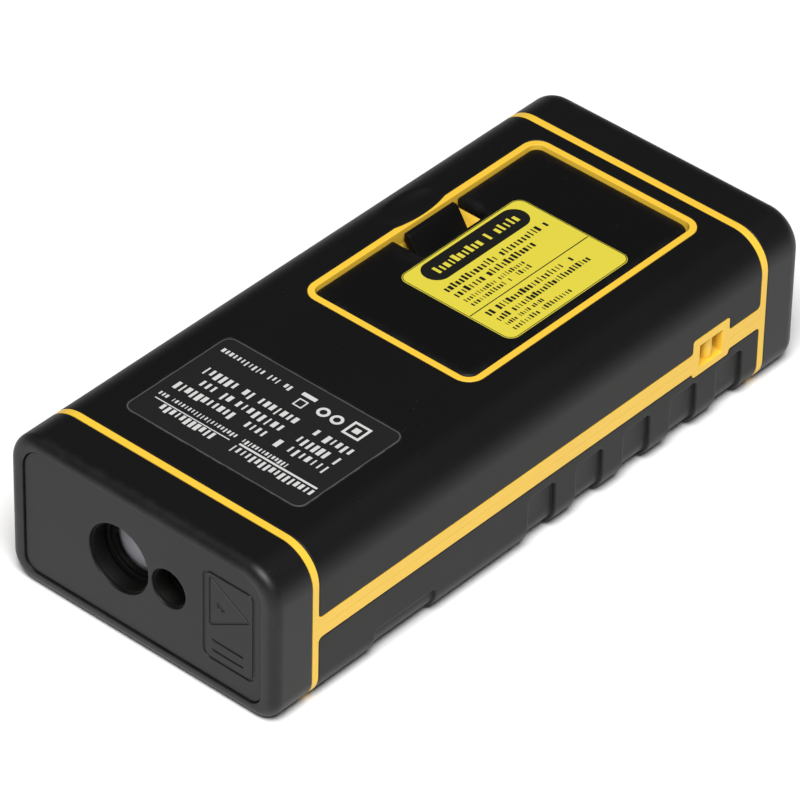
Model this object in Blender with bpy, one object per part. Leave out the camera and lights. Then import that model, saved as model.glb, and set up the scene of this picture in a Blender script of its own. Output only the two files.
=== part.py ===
"""Laser distance meter, lying on its display side.

Frame: X across the width, Y from the nose (-Y, where the laser leaves) to the tail (+Y),
+Z up out of the back cover. The origin is at the bottom centre of the outer body.
Sizes below are millimetres and the helpers turn them into metres.
"""
import math

import bmesh
import bpy
from mathutils import Matrix, Vector

MM = 0.001

# Driving dimensions of the outer body
WIDTH = 54.0
LENGTH = 121.2
THICKNESS = 28.1
BACK_EDGE_R = 6.3
FRONT_EDGE_R = 4.5
NOSE_EDGE_R = 1.9
TAIL_EDGE_R = 2.9
GAP = 0.2
SMALL_GAP = 0.12
SPLIT_GAP = 0.05

# Yellow body shells under the black skins
SKIN = 1.4
WALL = 1.6
END_SKIN = 2.1
FRONT_WALL_INNER_Z = 4.2
PARTING_Z = 13.76
RING_WIDTH = 1.3
NOSE_RING_Y = -51.85
TAIL_RING_Y = 51.21
STRIP_LOW_Z = 11.8
STRIP_HIGH_Z = 15.6

# Lanyard recess in the right strip
LANYARD_Y = (34.3, 43.0)
LANYARD_Z = (10.9, 18.1)
LANYARD_POCKET_Y = (35.8, 41.3)
LANYARD_POCKET_Z = (12.2, 16.6)
LANYARD_POCKET_DEPTH = 4.2
LANYARD_CORNER_R = 0.8
LANYARD_POST_R = 1.0
LANYARD_POST_Y = 39.0

# Battery door, its frame and its latch
FRAME_X = 17.3
FRAME_Y = (-7.15, 47.85)
FRAME_R = 3.0
FRAME_LINE = 1.15
DOOR_HINGE_CORNER_R = 2.7
DOOR_TOP_Z = 27.6
DOOR_THICKNESS = 1.7
LEDGE_Z = 25.6
NOTCH_Y = (12.8, 27.8)
NOTCH_INNER_X = -9.9
LATCH_Y = (14.9, 26.2)
LATCH_OUTER_X = -15.6
LATCH_RIM_X = -14.4
LATCH_FOOT_X = (-12.9, -10.9)
LATCH_FOOT_Z = (22.9, 23.8)
LATCH_CATCH_Z = 26.4
SKIRT_LOW_Z = 24.6
LATCH_TOP_Z = 27.9
WELL_FLOOR_Z = 22.4
HOOK_Y = ((2.0, 7.0), (34.0, 39.0))
HOOK_REACH = 1.0

# Finger scoop beside the latch: an arc bitten out of the frame line, and a dish in the skin
SCOOP_Y = 20.5
BITE_R = 21.8
BITE_X = -16.5
DISH_X = -19.5
DISH_SIZE = (3.9, 7.6, 1.9)
DISH_LIFT = 1.2

# Labels on the back and on the door
SPEC_LABEL_X = (-17.7, 18.2)
SPEC_LABEL_Y = (-46.0, -22.4)
CAUTION_X = (-9.1, 14.15)
CAUTION_Y = (5.9, 34.3)
LABEL_R = 1.8
LABEL_RECESS = 0.4
LABEL_THICKNESS = 0.2

# Battery cells and contacts
CELL_R = 5.25
CELL_LENGTH = 43.7
NUB_LENGTH = 0.8
NUB_R = 1.9
CELL_X = 5.6
CELL_Z = 20.35
BAY_X = 11.4
BAY_Y = (-4.6, 46.4)
BAY_FLOOR_Z = 14.8
CONTACT_THICKNESS = 0.3

# Optics in the nose
PANEL_X = 24.0
PANEL_Z = (2.5, 26.0)
PANEL_TOP_R = 4.2
PANEL_BOTTOM_R = 2.4
PANEL_RECESS = 0.3
PANEL_THICKNESS = 1.5
OPTICS_Z = 14.57
RECEIVER_X = -4.71
RECEIVER_R = 6.0
LASER_X = 5.41
LASER_R = 3.4
COLLAR_WALL = 0.75
COLLAR_END_Y = -57.3
LENS_R = 5.0
LENS_RING_R = 4.2
BARREL_R = 2.95
BENCH_Y = (-56.7, -27.0)
BENCH_PLATE_Z = (8.1, 9.7)

# Sunk mark on the nose panel
SYMBOL_X = (12.3, 22.7)
SYMBOL_Z = (6.1, 22.9)
SYMBOL_R = 1.5
TRIANGLE_X = 16.35
TRIANGLE_Z = 17.2
TRIANGLE_R = 5.6
BAR_X = (14.2, 20.4)
BAR_ROWS = (8.1, 10.0)
GROOVE_WIDTH = 0.45
GROOVE_DEPTH = 0.25

# Front face: fascia, display and keys
GRIP_INNER_X = 20.0
FASCIA_Z = 1.0
FASCIA_THICKNESS = 1.2
WINDOW_X = 16.8
WINDOW_Y = (-44.5, -8.5)
LCD_X = 12.1
LCD_Y = (-43.0, -10.0)
KEYPAD_OPENING_X = 17.5
KEYPAD_OPENING_Y = (-3.2, 35.3)
FASCIA_GAP = 0.15
KEY_TIP_Z = 0.4
KEY_COLUMN = 11.8
KEY_ROWS = (4.5, 18.0, 30.5)
KEY_CORNER_R = 2.4
KEYS = (
    ("key_plus", -1, 0, 8.0, 7.0),
    ("key_measure", 0, 0, 12.0, 10.0),
    ("key_minus", 1, 0, 8.0, 7.0),
    ("key_area", -1, 1, 8.6, 6.6),
    ("key_function", 0, 1, 8.6, 6.6),
    ("key_reference", 1, 1, 8.6, 6.6),
    ("key_unit", -1, 2, 8.6, 6.6),
    ("key_memory", 0, 2, 8.6, 6.6),
    ("key_power", 1, 2, 8.6, 6.6),
)
PCB_Z = 6.5
PCB_THICKNESS = 1.2

# Grip pockets along the lower side
POCKET_COUNT = 5
POCKET_FIRST_Y = -1.05
POCKET_PITCH = 11.12
POCKET_LENGTH = 6.1
POCKET_DEPTH = 0.65
POCKET_TOP_Z = 9.8
POCKET_INNER_X = 22.6
POCKET_CORNER_R = 0.5
EDGE_RECESS_Y = (-38.7, -25.3)
EDGE_RECESS_DEPTH = 0.5

# Screws
SCREW_HEAD_R = 1.7
SCREW_HEAD_HEIGHT = 1.2
SCREW_SHANK_R = 0.8
SCREW_WELL_R = 1.95
SCREW_HOLE_R = 1.1
NOSE_HEAD_Z = 20.0
TAIL_HEAD_Z = 21.5
NOSE_SCREWS = ((-15.0, -41.0), (15.0, -41.0))
TAIL_SCREWS = ((-14.2, 40.0), (14.2, 40.0))
PCB_SCREWS = ((-19.0, 44.5), (19.0, 44.5))
BENCH_SCREWS = ((-18.8, -32.5), (18.8, -32.5))

NOSE_Y = -LENGTH / 2
TAIL_Y = LENGTH / 2
HALF_WIDTH = WIDTH / 2
CORE_Y = (NOSE_Y + END_SKIN, TAIL_Y - END_SKIN)
BACK_PANEL_Y = (NOSE_RING_Y + RING_WIDTH / 2 + GAP, TAIL_RING_Y - RING_WIDTH / 2 - GAP)
DOOR_X = FRAME_X - FRAME_LINE - SMALL_GAP
DOOR_Y = (FRAME_Y[0] + FRAME_LINE + SMALL_GAP, FRAME_Y[1] - FRAME_LINE - SMALL_GAP)
DOOR_R = FRAME_R - FRAME_LINE
DOOR_HINGE = (DOOR_X, 0.0, DOOR_TOP_Z)
LATCH_HINGE = (LATCH_FOOT_X[1] - 0.6, 20.5, (LATCH_FOOT_Z[0] + LATCH_FOOT_Z[1]) / 2)
FAR = 80.0


# ---------------------------------------------------------------- helpers

def clear_scene():
    for item in list(bpy.data.objects):
        bpy.data.objects.remove(item, do_unlink=True)


def new_collection(name):
    collection = bpy.data.collections.new(name)
    bpy.context.scene.collection.children.link(collection)
    return collection


def object_from(bm, name):
    """Turn a bmesh drawn in millimetres into an object in metres."""
    bmesh.ops.scale(bm, vec=(MM, MM, MM), verts=bm.verts)
    bmesh.ops.recalc_face_normals(bm, faces=bm.faces)
    mesh = bpy.data.meshes.new(name)
    bm.to_mesh(mesh)
    bm.free()
    item = bpy.data.objects.new(name, mesh)
    bpy.context.scene.collection.objects.link(item)
    return item


def cube_between(low, high):
    bm = bmesh.new()
    size = [b - a for a, b in zip(low, high)]
    centre = [(a + b) / 2 for a, b in zip(low, high)]
    placed = Matrix.Translation(centre) @ Matrix.Diagonal((*size, 1.0))
    bmesh.ops.create_cube(bm, size=1.0, matrix=placed)
    return bm


def box(name, low, high):
    return object_from(cube_between(low, high), name)


def edges_along(bm, axis, test=None):
    """Edges parallel to an axis, with an optional test of their middle point."""
    found = []
    for edge in bm.edges:
        direction = (edge.verts[1].co - edge.verts[0].co).normalized()
        middle = (edge.verts[1].co + edge.verts[0].co) / 2
        if abs(direction[axis]) > 0.999 and (test is None or test(middle)):
            found.append(edge)
    return found


def bevel(bm, edges, radius, segments):
    bmesh.ops.bevel(bm, geom=edges, offset=radius, segments=segments, profile=0.5,
                    affect="EDGES", clamp_overlap=True)


def rounded_box(name, low, high, radius, axis=2, segments=4):
    """A box whose four edges along one axis are rounded."""
    bm = cube_between(low, high)
    bevel(bm, edges_along(bm, axis), radius, segments)
    return object_from(bm, name)


def soft_box(name, low, high, radius, segments=2):
    """A box with every edge rounded."""
    bm = cube_between(low, high)
    bevel(bm, list(bm.edges), radius, segments)
    return object_from(bm, name)


def cylinder(name, centre, radius, length, axis="Z", sides=24, far_radius=None):
    """A closed cylinder or cone; far_radius is the radius at the + end of the axis."""
    turns = {
        "Y": Matrix.Rotation(-math.pi / 2, 4, "X"),
        "Z": Matrix.Identity(4),
    }
    bm = bmesh.new()
    end_radius = radius if far_radius is None else far_radius
    bmesh.ops.create_cone(bm, cap_ends=True, segments=sides, radius1=radius, radius2=end_radius,
                          depth=length, matrix=Matrix.Translation(centre) @ turns[axis])
    return object_from(bm, name)


def body_bar(name, inset, y_range, end_r=0.0):
    """The outer body's cross-section, moved inwards by inset, between two Y stations."""
    half = HALF_WIDTH - inset
    bm = cube_between((-half, y_range[0], inset), (half, y_range[1], THICKNESS - inset))
    bevel(bm, edges_along(bm, 1, lambda m: m.z > THICKNESS / 2), BACK_EDGE_R - inset, 6)
    bevel(bm, edges_along(bm, 1, lambda m: m.z < THICKNESS / 2), FRONT_EDGE_R - inset, 5)
    if end_r > 0.0:
        ends = [e for e in bm.edges
                if all(abs(abs(v.co.y) - LENGTH / 2) < 0.001 for v in e.verts)]
        bevel(bm, ends, end_r, 4)
    return object_from(bm, name)


def prism(name, outline, y_range):
    """A solid pushed along Y from an outline of (x, z) points."""
    bm = bmesh.new()
    near = [bm.verts.new((x, y_range[0], z)) for x, z in outline]
    far = [bm.verts.new((x, y_range[1], z)) for x, z in outline]
    bm.faces.new(near)
    bm.faces.new(far)
    for index in range(len(outline)):
        after = (index + 1) % len(outline)
        bm.faces.new((near[index], near[after], far[after], far[index]))
    return object_from(bm, name)


def boolean(target, tool, operation):
    modifier = target.modifiers.new(operation.title(), "BOOLEAN")
    modifier.operation = operation
    modifier.solver = "EXACT"
    modifier.object = tool
    depsgraph = bpy.context.evaluated_depsgraph_get()
    mesh = bpy.data.meshes.new_from_object(target.evaluated_get(depsgraph))
    target.modifiers.clear()
    target.data = mesh
    bpy.data.objects.remove(tool, do_unlink=True)
    return target


def cut(target, *tools):
    for tool in tools:
        boolean(target, tool, "DIFFERENCE")
    return target


def join(target, *tools):
    for tool in tools:
        boolean(target, tool, "UNION")
    return target


def keep(target, tool):
    return boolean(target, tool, "INTERSECT")


def copy_of(item, name):
    twin = bpy.data.objects.new(name, item.data.copy())
    bpy.context.scene.collection.objects.link(twin)
    return twin


def set_origin(item, point):
    """Move an object's origin to a point in millimetres and leave its surface in place."""
    shift = Vector(point) * MM
    item.data.transform(Matrix.Translation(-shift))
    item.location = shift


def plastic(name, colour, roughness=0.5, metallic=0.0):
    material = bpy.data.materials.new(name)
    material.use_nodes = True
    shader = material.node_tree.nodes["Principled BSDF"]
    shader.inputs["Base Color"].default_value = (*colour, 1.0)
    shader.inputs["Roughness"].default_value = roughness
    shader.inputs["Metallic"].default_value = metallic
    return material


def finish(item, name, colour, roughness=0.5, metallic=0.0):
    """Name a piece, give it its material and file it in the model's collection."""
    item.name = name
    item.data.name = name
    item.data.materials.clear()
    item.data.materials.append(plastic(name, colour, roughness, metallic))
    item.data.shade_smooth()
    item.data.set_sharp_from_angle(angle=math.radians(30))
    for owner in list(item.users_collection):
        owner.objects.unlink(item)
    MODEL.objects.link(item)
    return item


YELLOW = (0.85, 0.52, 0.04)
RUBBER = (0.018, 0.018, 0.019)
BLACK = (0.012, 0.012, 0.013)
STEEL = (0.62, 0.62, 0.63)
GOLD = (0.85, 0.62, 0.25)
BOARD = (0.02, 0.16, 0.06)


# ---------------------------------------------------------------- yellow shells

def lanyard_pocket(name):
    low = (HALF_WIDTH - LANYARD_POCKET_DEPTH, LANYARD_POCKET_Y[0], LANYARD_POCKET_Z[0])
    high = (FAR, LANYARD_POCKET_Y[1], LANYARD_POCKET_Z[1])
    return box(name, low, high)


def optics_hole(name, x, radius, y_range, sides=32):
    centre = (x, (y_range[0] + y_range[1]) / 2, OPTICS_Z)
    return cylinder(name, centre, radius, y_range[1] - y_range[0], "Y", sides)


def yellow_core():
    """Both yellow shells as one hollow body, before they are parted."""
    core = body_bar("core", SKIN, CORE_Y)
    for ring_y in (NOSE_RING_Y, TAIL_RING_Y):
        ring_range = (ring_y - RING_WIDTH / 2, ring_y + RING_WIDTH / 2)
        join(core, body_bar("ring", 0.0, ring_range))
    for side in (-1, 1):
        inner = side * (HALF_WIDTH - SKIN - 1.0)
        outer = side * HALF_WIDTH
        low = (min(inner, outer), NOSE_RING_Y, STRIP_LOW_Z)
        high = (max(inner, outer), TAIL_RING_Y, STRIP_HIGH_Z)
        join(core, box("strip", low, high))
    low = (HALF_WIDTH - SKIN - 1.0, LANYARD_Y[0], LANYARD_Z[0])
    high = (HALF_WIDTH, LANYARD_Y[1], LANYARD_Z[1])
    join(core, rounded_box("lanyard_block", low, high, LANYARD_CORNER_R, axis=0, segments=2))
    low = (-FRAME_X, FRAME_Y[0], THICKNESS - SKIN - 1.0)
    high = (FRAME_X, FRAME_Y[1], THICKNESS)
    frame = rounded_box("door_frame", low, high, FRAME_R, segments=5)
    join(core, cut(frame, frame_bite(0.0)))

    inside = HALF_WIDTH - SKIN - WALL
    low = (-inside, CORE_Y[0] + WALL, FRONT_WALL_INNER_Z)
    high = (inside, CORE_Y[1] - WALL, THICKNESS - SKIN - WALL)
    cut(core, rounded_box("cavity", low, high, 3.0, axis=1, segments=4))
    low = (HALF_WIDTH - LANYARD_POCKET_DEPTH - 1.2, LANYARD_POCKET_Y[0] - 1.2,
           LANYARD_POCKET_Z[0] - 1.2)
    high = (inside + 0.5, LANYARD_POCKET_Y[1] + 1.2, LANYARD_POCKET_Z[1] + 1.2)
    join(core, box("lanyard_back", low, high))
    cut(core, lanyard_pocket("lanyard_pocket"))
    hole_y = (CORE_Y[0] - 1.0, CORE_Y[0] + WALL + 1.0)
    reach = COLLAR_WALL + GAP
    cut(core, optics_hole("receiver_hole", RECEIVER_X, RECEIVER_R + reach, hole_y))
    cut(core, optics_hole("laser_hole", LASER_X, LASER_R + reach, hole_y, 24))
    return core


def screw_bore(point, head_z):
    """A stepped hole for a screw put in from the back: shank below, head well above."""
    x, y = point
    low = PARTING_Z - 1.0
    high = head_z + 0.5
    shank = cylinder("bore", (x, y, (low + high) / 2), SCREW_HOLE_R, high - low, sides=16)
    well = cylinder("well", (x, y, (head_z + FAR) / 2), SCREW_WELL_R, FAR - head_z, sides=20)
    return join(shank, well)


def build_rear_shell(core):
    shell = copy_of(core, "rear_shell")
    keep(shell, box("rear_half", (-FAR, -FAR, PARTING_Z + SPLIT_GAP), (FAR, FAR, FAR)))

    # Battery bay, door seat and latch well, as solid blocks first
    wall = 1.3
    low = (-BAY_X - wall, BAY_Y[0] - wall, PARTING_Z + SPLIT_GAP)
    high = (BAY_X + wall, BAY_Y[1] + wall, LEDGE_Z - 0.1)
    join(shell, box("bay_block", low, high))
    low = (-FRAME_X - 0.6, FRAME_Y[0] - 0.6, LEDGE_Z - 1.6)
    high = (FRAME_X + 0.6, FRAME_Y[1] + 0.6, LEDGE_Z + 0.4)
    join(shell, box("seat_block", low, high))
    low = (-FRAME_X - 0.6, NOTCH_Y[0] - wall, WELL_FLOOR_Z - 1.4)
    high = (-BAY_X + 0.5, NOTCH_Y[1] + wall, LEDGE_Z)
    join(shell, box("latch_block", low, high))
    for x, y in NOSE_SCREWS:
        length = THICKNESS - SKIN - 0.4 - PARTING_Z
        middle = PARTING_Z + SPLIT_GAP + length / 2
        join(shell, cylinder("nose_boss", (x, y, middle), 3.0, length, sides=20))
    for x, y in TAIL_SCREWS:
        length = LEDGE_Z - 0.3 - PARTING_Z
        middle = PARTING_Z + SPLIT_GAP + length / 2
        join(shell, cylinder("tail_boss", (x, y, middle), 2.6, length, sides=20))

    # Then their hollows
    low = (-FRAME_X + FRAME_LINE, FRAME_Y[0] + FRAME_LINE, LEDGE_Z)
    high = (FRAME_X - FRAME_LINE, FRAME_Y[1] - FRAME_LINE, FAR)
    cut(shell, rounded_box("door_pocket", low, high, DOOR_R, segments=4))
    low = (-BAY_X, BAY_Y[0], BAY_FLOOR_Z)
    high = (BAY_X, BAY_Y[1], LEDGE_Z + 1.0)
    cut(shell, box("bay_hollow", low, high))
    low = (-FRAME_X + FRAME_LINE, NOTCH_Y[0], WELL_FLOOR_Z)
    high = (-BAY_X + 0.6, NOTCH_Y[1], LEDGE_Z + 1.0)
    cut(shell, box("latch_well", low, high))
    for near, far in HOOK_Y:
        low = (DOOR_X - HOOK_REACH, near - 0.3, LEDGE_Z - 0.5)
        high = (FRAME_X + 0.25, far + 0.3, DOOR_TOP_Z - 0.7)
        cut(shell, box("hook_pocket", low, high))
    for point in NOSE_SCREWS:
        cut(shell, screw_bore(point, NOSE_HEAD_Z))
    for point in TAIL_SCREWS:
        cut(shell, screw_bore(point, TAIL_HEAD_Z))

    post_low = LANYARD_POCKET_Z[0] + GAP
    post_high = LANYARD_POCKET_Z[1] + 0.6
    centre = (HALF_WIDTH - LANYARD_POST_R - 0.5, LANYARD_POST_Y, (post_low + post_high) / 2)
    join(shell, cylinder("post", centre, LANYARD_POST_R, post_high - post_low, sides=12))
    return finish(shell, "rear_shell", YELLOW, 0.42)


def build_front_shell(core):
    shell = copy_of(core, "front_shell")
    keep(shell, box("front_half", (-FAR, -FAR, -FAR), (FAR, FAR, PARTING_Z - SPLIT_GAP)))
    low = (-GRIP_INNER_X - GAP, BACK_PANEL_Y[0] - GAP, -FAR)
    high = (GRIP_INNER_X + GAP, BACK_PANEL_Y[1] + GAP, FASCIA_Z + FASCIA_THICKNESS + GAP)
    cut(shell, box("fascia_seat", low, high))
    low = (-LCD_X - 0.4, LCD_Y[0] - 0.4, 0.0)
    high = (LCD_X + 0.4, LCD_Y[1] + 0.4, FRONT_WALL_INNER_Z + 1.0)
    cut(shell, box("lcd_opening", low, high))
    low = (-KEYPAD_OPENING_X, KEYPAD_OPENING_Y[0], 0.0)
    high = (KEYPAD_OPENING_X, KEYPAD_OPENING_Y[1], FRONT_WALL_INNER_Z + 1.0)
    cut(shell, box("key_opening", low, high))
    for x, y in NOSE_SCREWS + TAIL_SCREWS:
        length = PARTING_Z - SPLIT_GAP - FRONT_WALL_INNER_Z + 0.6
        middle = FRONT_WALL_INNER_Z - 0.6 + length / 2
        join(shell, cylinder("boss", (x, y, middle), 2.35, length, sides=20))
        cut(shell, cylinder("boss_hole", (x, y, middle + 1.6), 1.05, length, sides=16))
    for x, y in PCB_SCREWS + BENCH_SCREWS:
        length = PCB_Z - GAP - FRONT_WALL_INNER_Z + 0.6
        middle = FRONT_WALL_INNER_Z - 0.6 + length / 2
        join(shell, cylinder("post", (x, y, middle), 2.0, length, sides=16))
        cut(shell, cylinder("post_hole", (x, y, middle + 0.5), 1.0, length, sides=16))
    return finish(shell, "front_shell", YELLOW, 0.42)


# ---------------------------------------------------------------- black skins

def frame_bite(shrink):
    """The wide arc that the finger scoop takes out of the frame line."""
    centre = (BITE_X - BITE_R, SCOOP_Y, THICKNESS)
    return cylinder("frame_bite", centre, BITE_R - shrink, 12.0, sides=128)


def finger_dish():
    """A shallow dish beside the latch, for a fingertip."""
    bm = bmesh.new()
    placed = Matrix.Translation((DISH_X, SCOOP_Y, THICKNESS + DISH_LIFT))
    size = Matrix.Diagonal((*DISH_SIZE, 1.0))
    bmesh.ops.create_uvsphere(bm, u_segments=24, v_segments=14, radius=1.0,
                              matrix=placed @ size)
    return object_from(bm, "finger_dish")


def core_with_gap(name, y_range):
    return body_bar(name, SKIN - GAP, y_range)


def build_back_overmould():
    skin = body_bar("back_overmould", 0.0, BACK_PANEL_Y)
    cut(skin, core_with_gap("inner", (-FAR, FAR)))
    keep(skin, box("upper", (-FAR, -FAR, STRIP_HIGH_Z + GAP), (FAR, FAR, FAR)))
    low = (-FRAME_X - GAP, FRAME_Y[0] - GAP, LEDGE_Z)
    high = (FRAME_X + GAP, FRAME_Y[1] + GAP, FAR)
    window = rounded_box("frame_window", low, high, FRAME_R + GAP, segments=5)
    cut(skin, cut(window, frame_bite(GAP)))
    low = (20.0, LANYARD_Y[0] - GAP, 0.0)
    high = (FAR, LANYARD_Y[1] + GAP, LANYARD_Z[1] + GAP)
    cut(skin, rounded_box("lanyard_gap", low, high, LANYARD_CORNER_R + GAP, axis=0, segments=2))
    low = (SPEC_LABEL_X[0] - SMALL_GAP, SPEC_LABEL_Y[0] - SMALL_GAP, THICKNESS - LABEL_RECESS)
    high = (SPEC_LABEL_X[1] + SMALL_GAP, SPEC_LABEL_Y[1] + SMALL_GAP, FAR)
    cut(skin, rounded_box("label_recess", low, high, LABEL_R + SMALL_GAP))
    for x, y in NOSE_SCREWS:
        cut(skin, cylinder("screw_hole", (x, y, THICKNESS), SCREW_WELL_R, 8.0, sides=20))
    cut(skin, finger_dish())
    return finish(skin, "back_overmould", RUBBER, 0.55)


def grip_pockets():
    """The row of pockets cut round the lower long edge of a grip, and one longer recess."""
    areas = []
    for index in range(POCKET_COUNT):
        middle = POCKET_FIRST_Y + index * POCKET_PITCH
        y_range = (middle - POCKET_LENGTH / 2, middle + POCKET_LENGTH / 2)
        areas.append((y_range, POCKET_TOP_Z, POCKET_DEPTH))
    areas.append((EDGE_RECESS_Y, FRONT_EDGE_R + 0.9, EDGE_RECESS_DEPTH))
    tools = []
    for y_range, top, depth in areas:
        tool = rounded_box("pocket", (POCKET_INNER_X, y_range[0], -1.0), (FAR, y_range[1], top),
                           POCKET_CORNER_R, axis=0, segments=2)
        tools.append(cut(tool, body_bar("pocket_floor", depth, (-FAR, FAR))))
    return tools


def build_grip(side):
    """Side skin below the strip, wrapped round the front edge; side is 1 right, -1 left.

    It is drawn on the right and mirrored for the left. Only the right one has the notch
    below the lanyard recess.
    """
    name = "right_grip" if side > 0 else "left_grip"
    skin = body_bar(name, 0.0, BACK_PANEL_Y)
    cut(skin, core_with_gap("inner", (-FAR, FAR)))
    low = (GRIP_INNER_X + GAP, -FAR, -FAR)
    keep(skin, box("side", low, (FAR, FAR, STRIP_LOW_Z - GAP)))
    cut(skin, *grip_pockets())
    if side > 0:
        low = (20.0, LANYARD_Y[0] - GAP, LANYARD_Z[0] - GAP)
        high = (FAR, LANYARD_Y[1] + GAP, FAR)
        cut(skin, rounded_box("lanyard_gap", low, high, LANYARD_CORNER_R + GAP, axis=0,
                              segments=2))
    else:
        skin.data.transform(Matrix.Scale(-1.0, 4, (1.0, 0.0, 0.0)))
        skin.data.flip_normals()
    return finish(skin, name, RUBBER, 0.55)


def build_nose_bumper():
    skin = body_bar("nose_bumper", 0.0, (NOSE_Y, 0.0), NOSE_EDGE_R)
    keep(skin, box("nose", (-FAR, -FAR, -FAR), (FAR, NOSE_RING_Y - RING_WIDTH / 2 - GAP, FAR)))
    cut(skin, core_with_gap("inner", (CORE_Y[0] - GAP, FAR)))
    cut(skin, panel_block("panel_opening", SMALL_GAP, (-FAR, CORE_Y[0] + 1.0)))
    return finish(skin, "nose_bumper", RUBBER, 0.5)


def build_tail_bumper():
    skin = body_bar("tail_bumper", 0.0, (0.0, TAIL_Y), TAIL_EDGE_R)
    keep(skin, box("tail", (-FAR, TAIL_RING_Y + RING_WIDTH / 2 + GAP, -FAR), (FAR, FAR, FAR)))
    cut(skin, core_with_gap("inner", (-FAR, CORE_Y[1] + GAP)))
    return finish(skin, "tail_bumper", RUBBER, 0.5)


# ---------------------------------------------------------------- nose panel

def panel_block(name, grow, y_range):
    """The nose panel's outline as a block: wide corners at the back, tight ones in front."""
    bm = cube_between((-PANEL_X - grow, y_range[0], PANEL_Z[0] - grow),
                      (PANEL_X + grow, y_range[1], PANEL_Z[1] + grow))
    bevel(bm, edges_along(bm, 1, lambda m: m.z > OPTICS_Z), PANEL_TOP_R + grow, 4)
    bevel(bm, edges_along(bm, 1, lambda m: m.z < OPTICS_Z), PANEL_BOTTOM_R + grow, 3)
    return object_from(bm, name)


def build_nose_panel():
    face_y = NOSE_Y + PANEL_RECESS
    panel = panel_block("nose_panel", 0.0, (face_y, face_y + PANEL_THICKNESS))
    collar_y = (face_y + PANEL_THICKNESS / 2, COLLAR_END_Y)
    hole_y = (face_y - 1.0, COLLAR_END_Y + 1.0)
    for x, radius, sides in ((RECEIVER_X, RECEIVER_R, 32), (LASER_X, LASER_R, 24)):
        join(panel, optics_hole("collar", x, radius + COLLAR_WALL, collar_y, sides))
    for x, radius, sides in ((RECEIVER_X, RECEIVER_R, 32), (LASER_X, LASER_R, 24)):
        cut(panel, optics_hole("aperture", x, radius, hole_y, sides))
    cut(panel, *symbol_grooves(face_y))
    return finish(panel, "nose_panel", BLACK, 0.45)


def symbol_grooves(face_y):
    """A sunk frame with a plain triangle and two short bars in it."""
    y_range = (face_y - 1.0, face_y + GROOVE_DEPTH)
    outer = rounded_box("frame", (SYMBOL_X[0], y_range[0], SYMBOL_Z[0]),
                        (SYMBOL_X[1], y_range[1], SYMBOL_Z[1]), SYMBOL_R, axis=1, segments=3)
    low = (SYMBOL_X[0] + GROOVE_WIDTH, y_range[0] - 1.0, SYMBOL_Z[0] + GROOVE_WIDTH)
    high = (SYMBOL_X[1] - GROOVE_WIDTH, y_range[1] + 1.0, SYMBOL_Z[1] - GROOVE_WIDTH)
    inner = rounded_box("frame_inner", low, high, SYMBOL_R - GROOVE_WIDTH, axis=1, segments=3)
    cut(outer, inner)
    triangle = triangle_prism(TRIANGLE_R, y_range)
    inner_y = (y_range[0] - 1.0, y_range[1] + 1.0)
    cut(triangle, triangle_prism(TRIANGLE_R - 2 * GROOVE_WIDTH, inner_y))
    bars = []
    for bar_z in BAR_ROWS:
        low = (BAR_X[0], y_range[0], bar_z - GROOVE_WIDTH / 2)
        bars.append(box("bar", low, (BAR_X[1], y_range[1], bar_z + GROOVE_WIDTH / 2)))
    return [outer, triangle, *bars]


def triangle_prism(radius, y_range):
    """An equal-sided triangle pointing to +X."""
    outline = []
    for turn in range(3):
        angle = turn * math.tau / 3
        outline.append((TRIANGLE_X + radius * math.cos(angle),
                        TRIANGLE_Z + radius * math.sin(angle)))
    return prism("triangle", outline, y_range)


# ---------------------------------------------------------------- front face

def key_outline(name, key, grow, z_range):
    _, column, row, width, height = key
    x = column * KEY_COLUMN
    y = KEY_ROWS[row]
    low = (x - width / 2 - grow, y - height / 2 - grow, z_range[0])
    high = (x + width / 2 + grow, y + height / 2 + grow, z_range[1])
    return rounded_box(name, low, high, KEY_CORNER_R + grow, segments=3)


def build_fascia():
    low = (-GRIP_INNER_X, BACK_PANEL_Y[0], FASCIA_Z)
    high = (GRIP_INNER_X, BACK_PANEL_Y[1], FASCIA_Z + FASCIA_THICKNESS)
    fascia = rounded_box("front_fascia", low, high, 1.0, segments=2)
    low = (-WINDOW_X - FASCIA_GAP, WINDOW_Y[0] - FASCIA_GAP, -1.0)
    high = (WINDOW_X + FASCIA_GAP, WINDOW_Y[1] + FASCIA_GAP, 5.0)
    cut(fascia, rounded_box("window_opening", low, high, 2.0 + FASCIA_GAP, segments=3))
    for key in KEYS:
        cut(fascia, key_outline("key_opening", key, FASCIA_GAP, (-1.0, 5.0)))
    return finish(fascia, "front_fascia", BLACK, 0.35)


def build_display():
    low = (-WINDOW_X, WINDOW_Y[0], FASCIA_Z + 0.05)
    high = (WINDOW_X, WINDOW_Y[1], FASCIA_Z + FASCIA_THICKNESS)
    window = rounded_box("display_window", low, high, 2.0, segments=3)
    finish(window, "display_window", (0.02, 0.02, 0.025), 0.08)
    glass_low = (-LCD_X, LCD_Y[0], 2.75)
    glass = box("lcd_glass", glass_low, (LCD_X, LCD_Y[1], 4.35))
    finish(glass, "lcd_glass", (0.35, 0.40, 0.33), 0.15)
    light = box("lcd_backlight", (-LCD_X + 0.5, LCD_Y[0] + 1.0, 4.6), (LCD_X - 0.5, -14.2, 6.2))
    finish(light, "lcd_backlight", (0.85, 0.85, 0.82), 0.4)
    strip = box("lcd_connector", (-11.0, -13.6, 4.6), (11.0, -11.2, 6.3))
    finish(strip, "lcd_connector", (0.75, 0.35, 0.45), 0.7)


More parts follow.
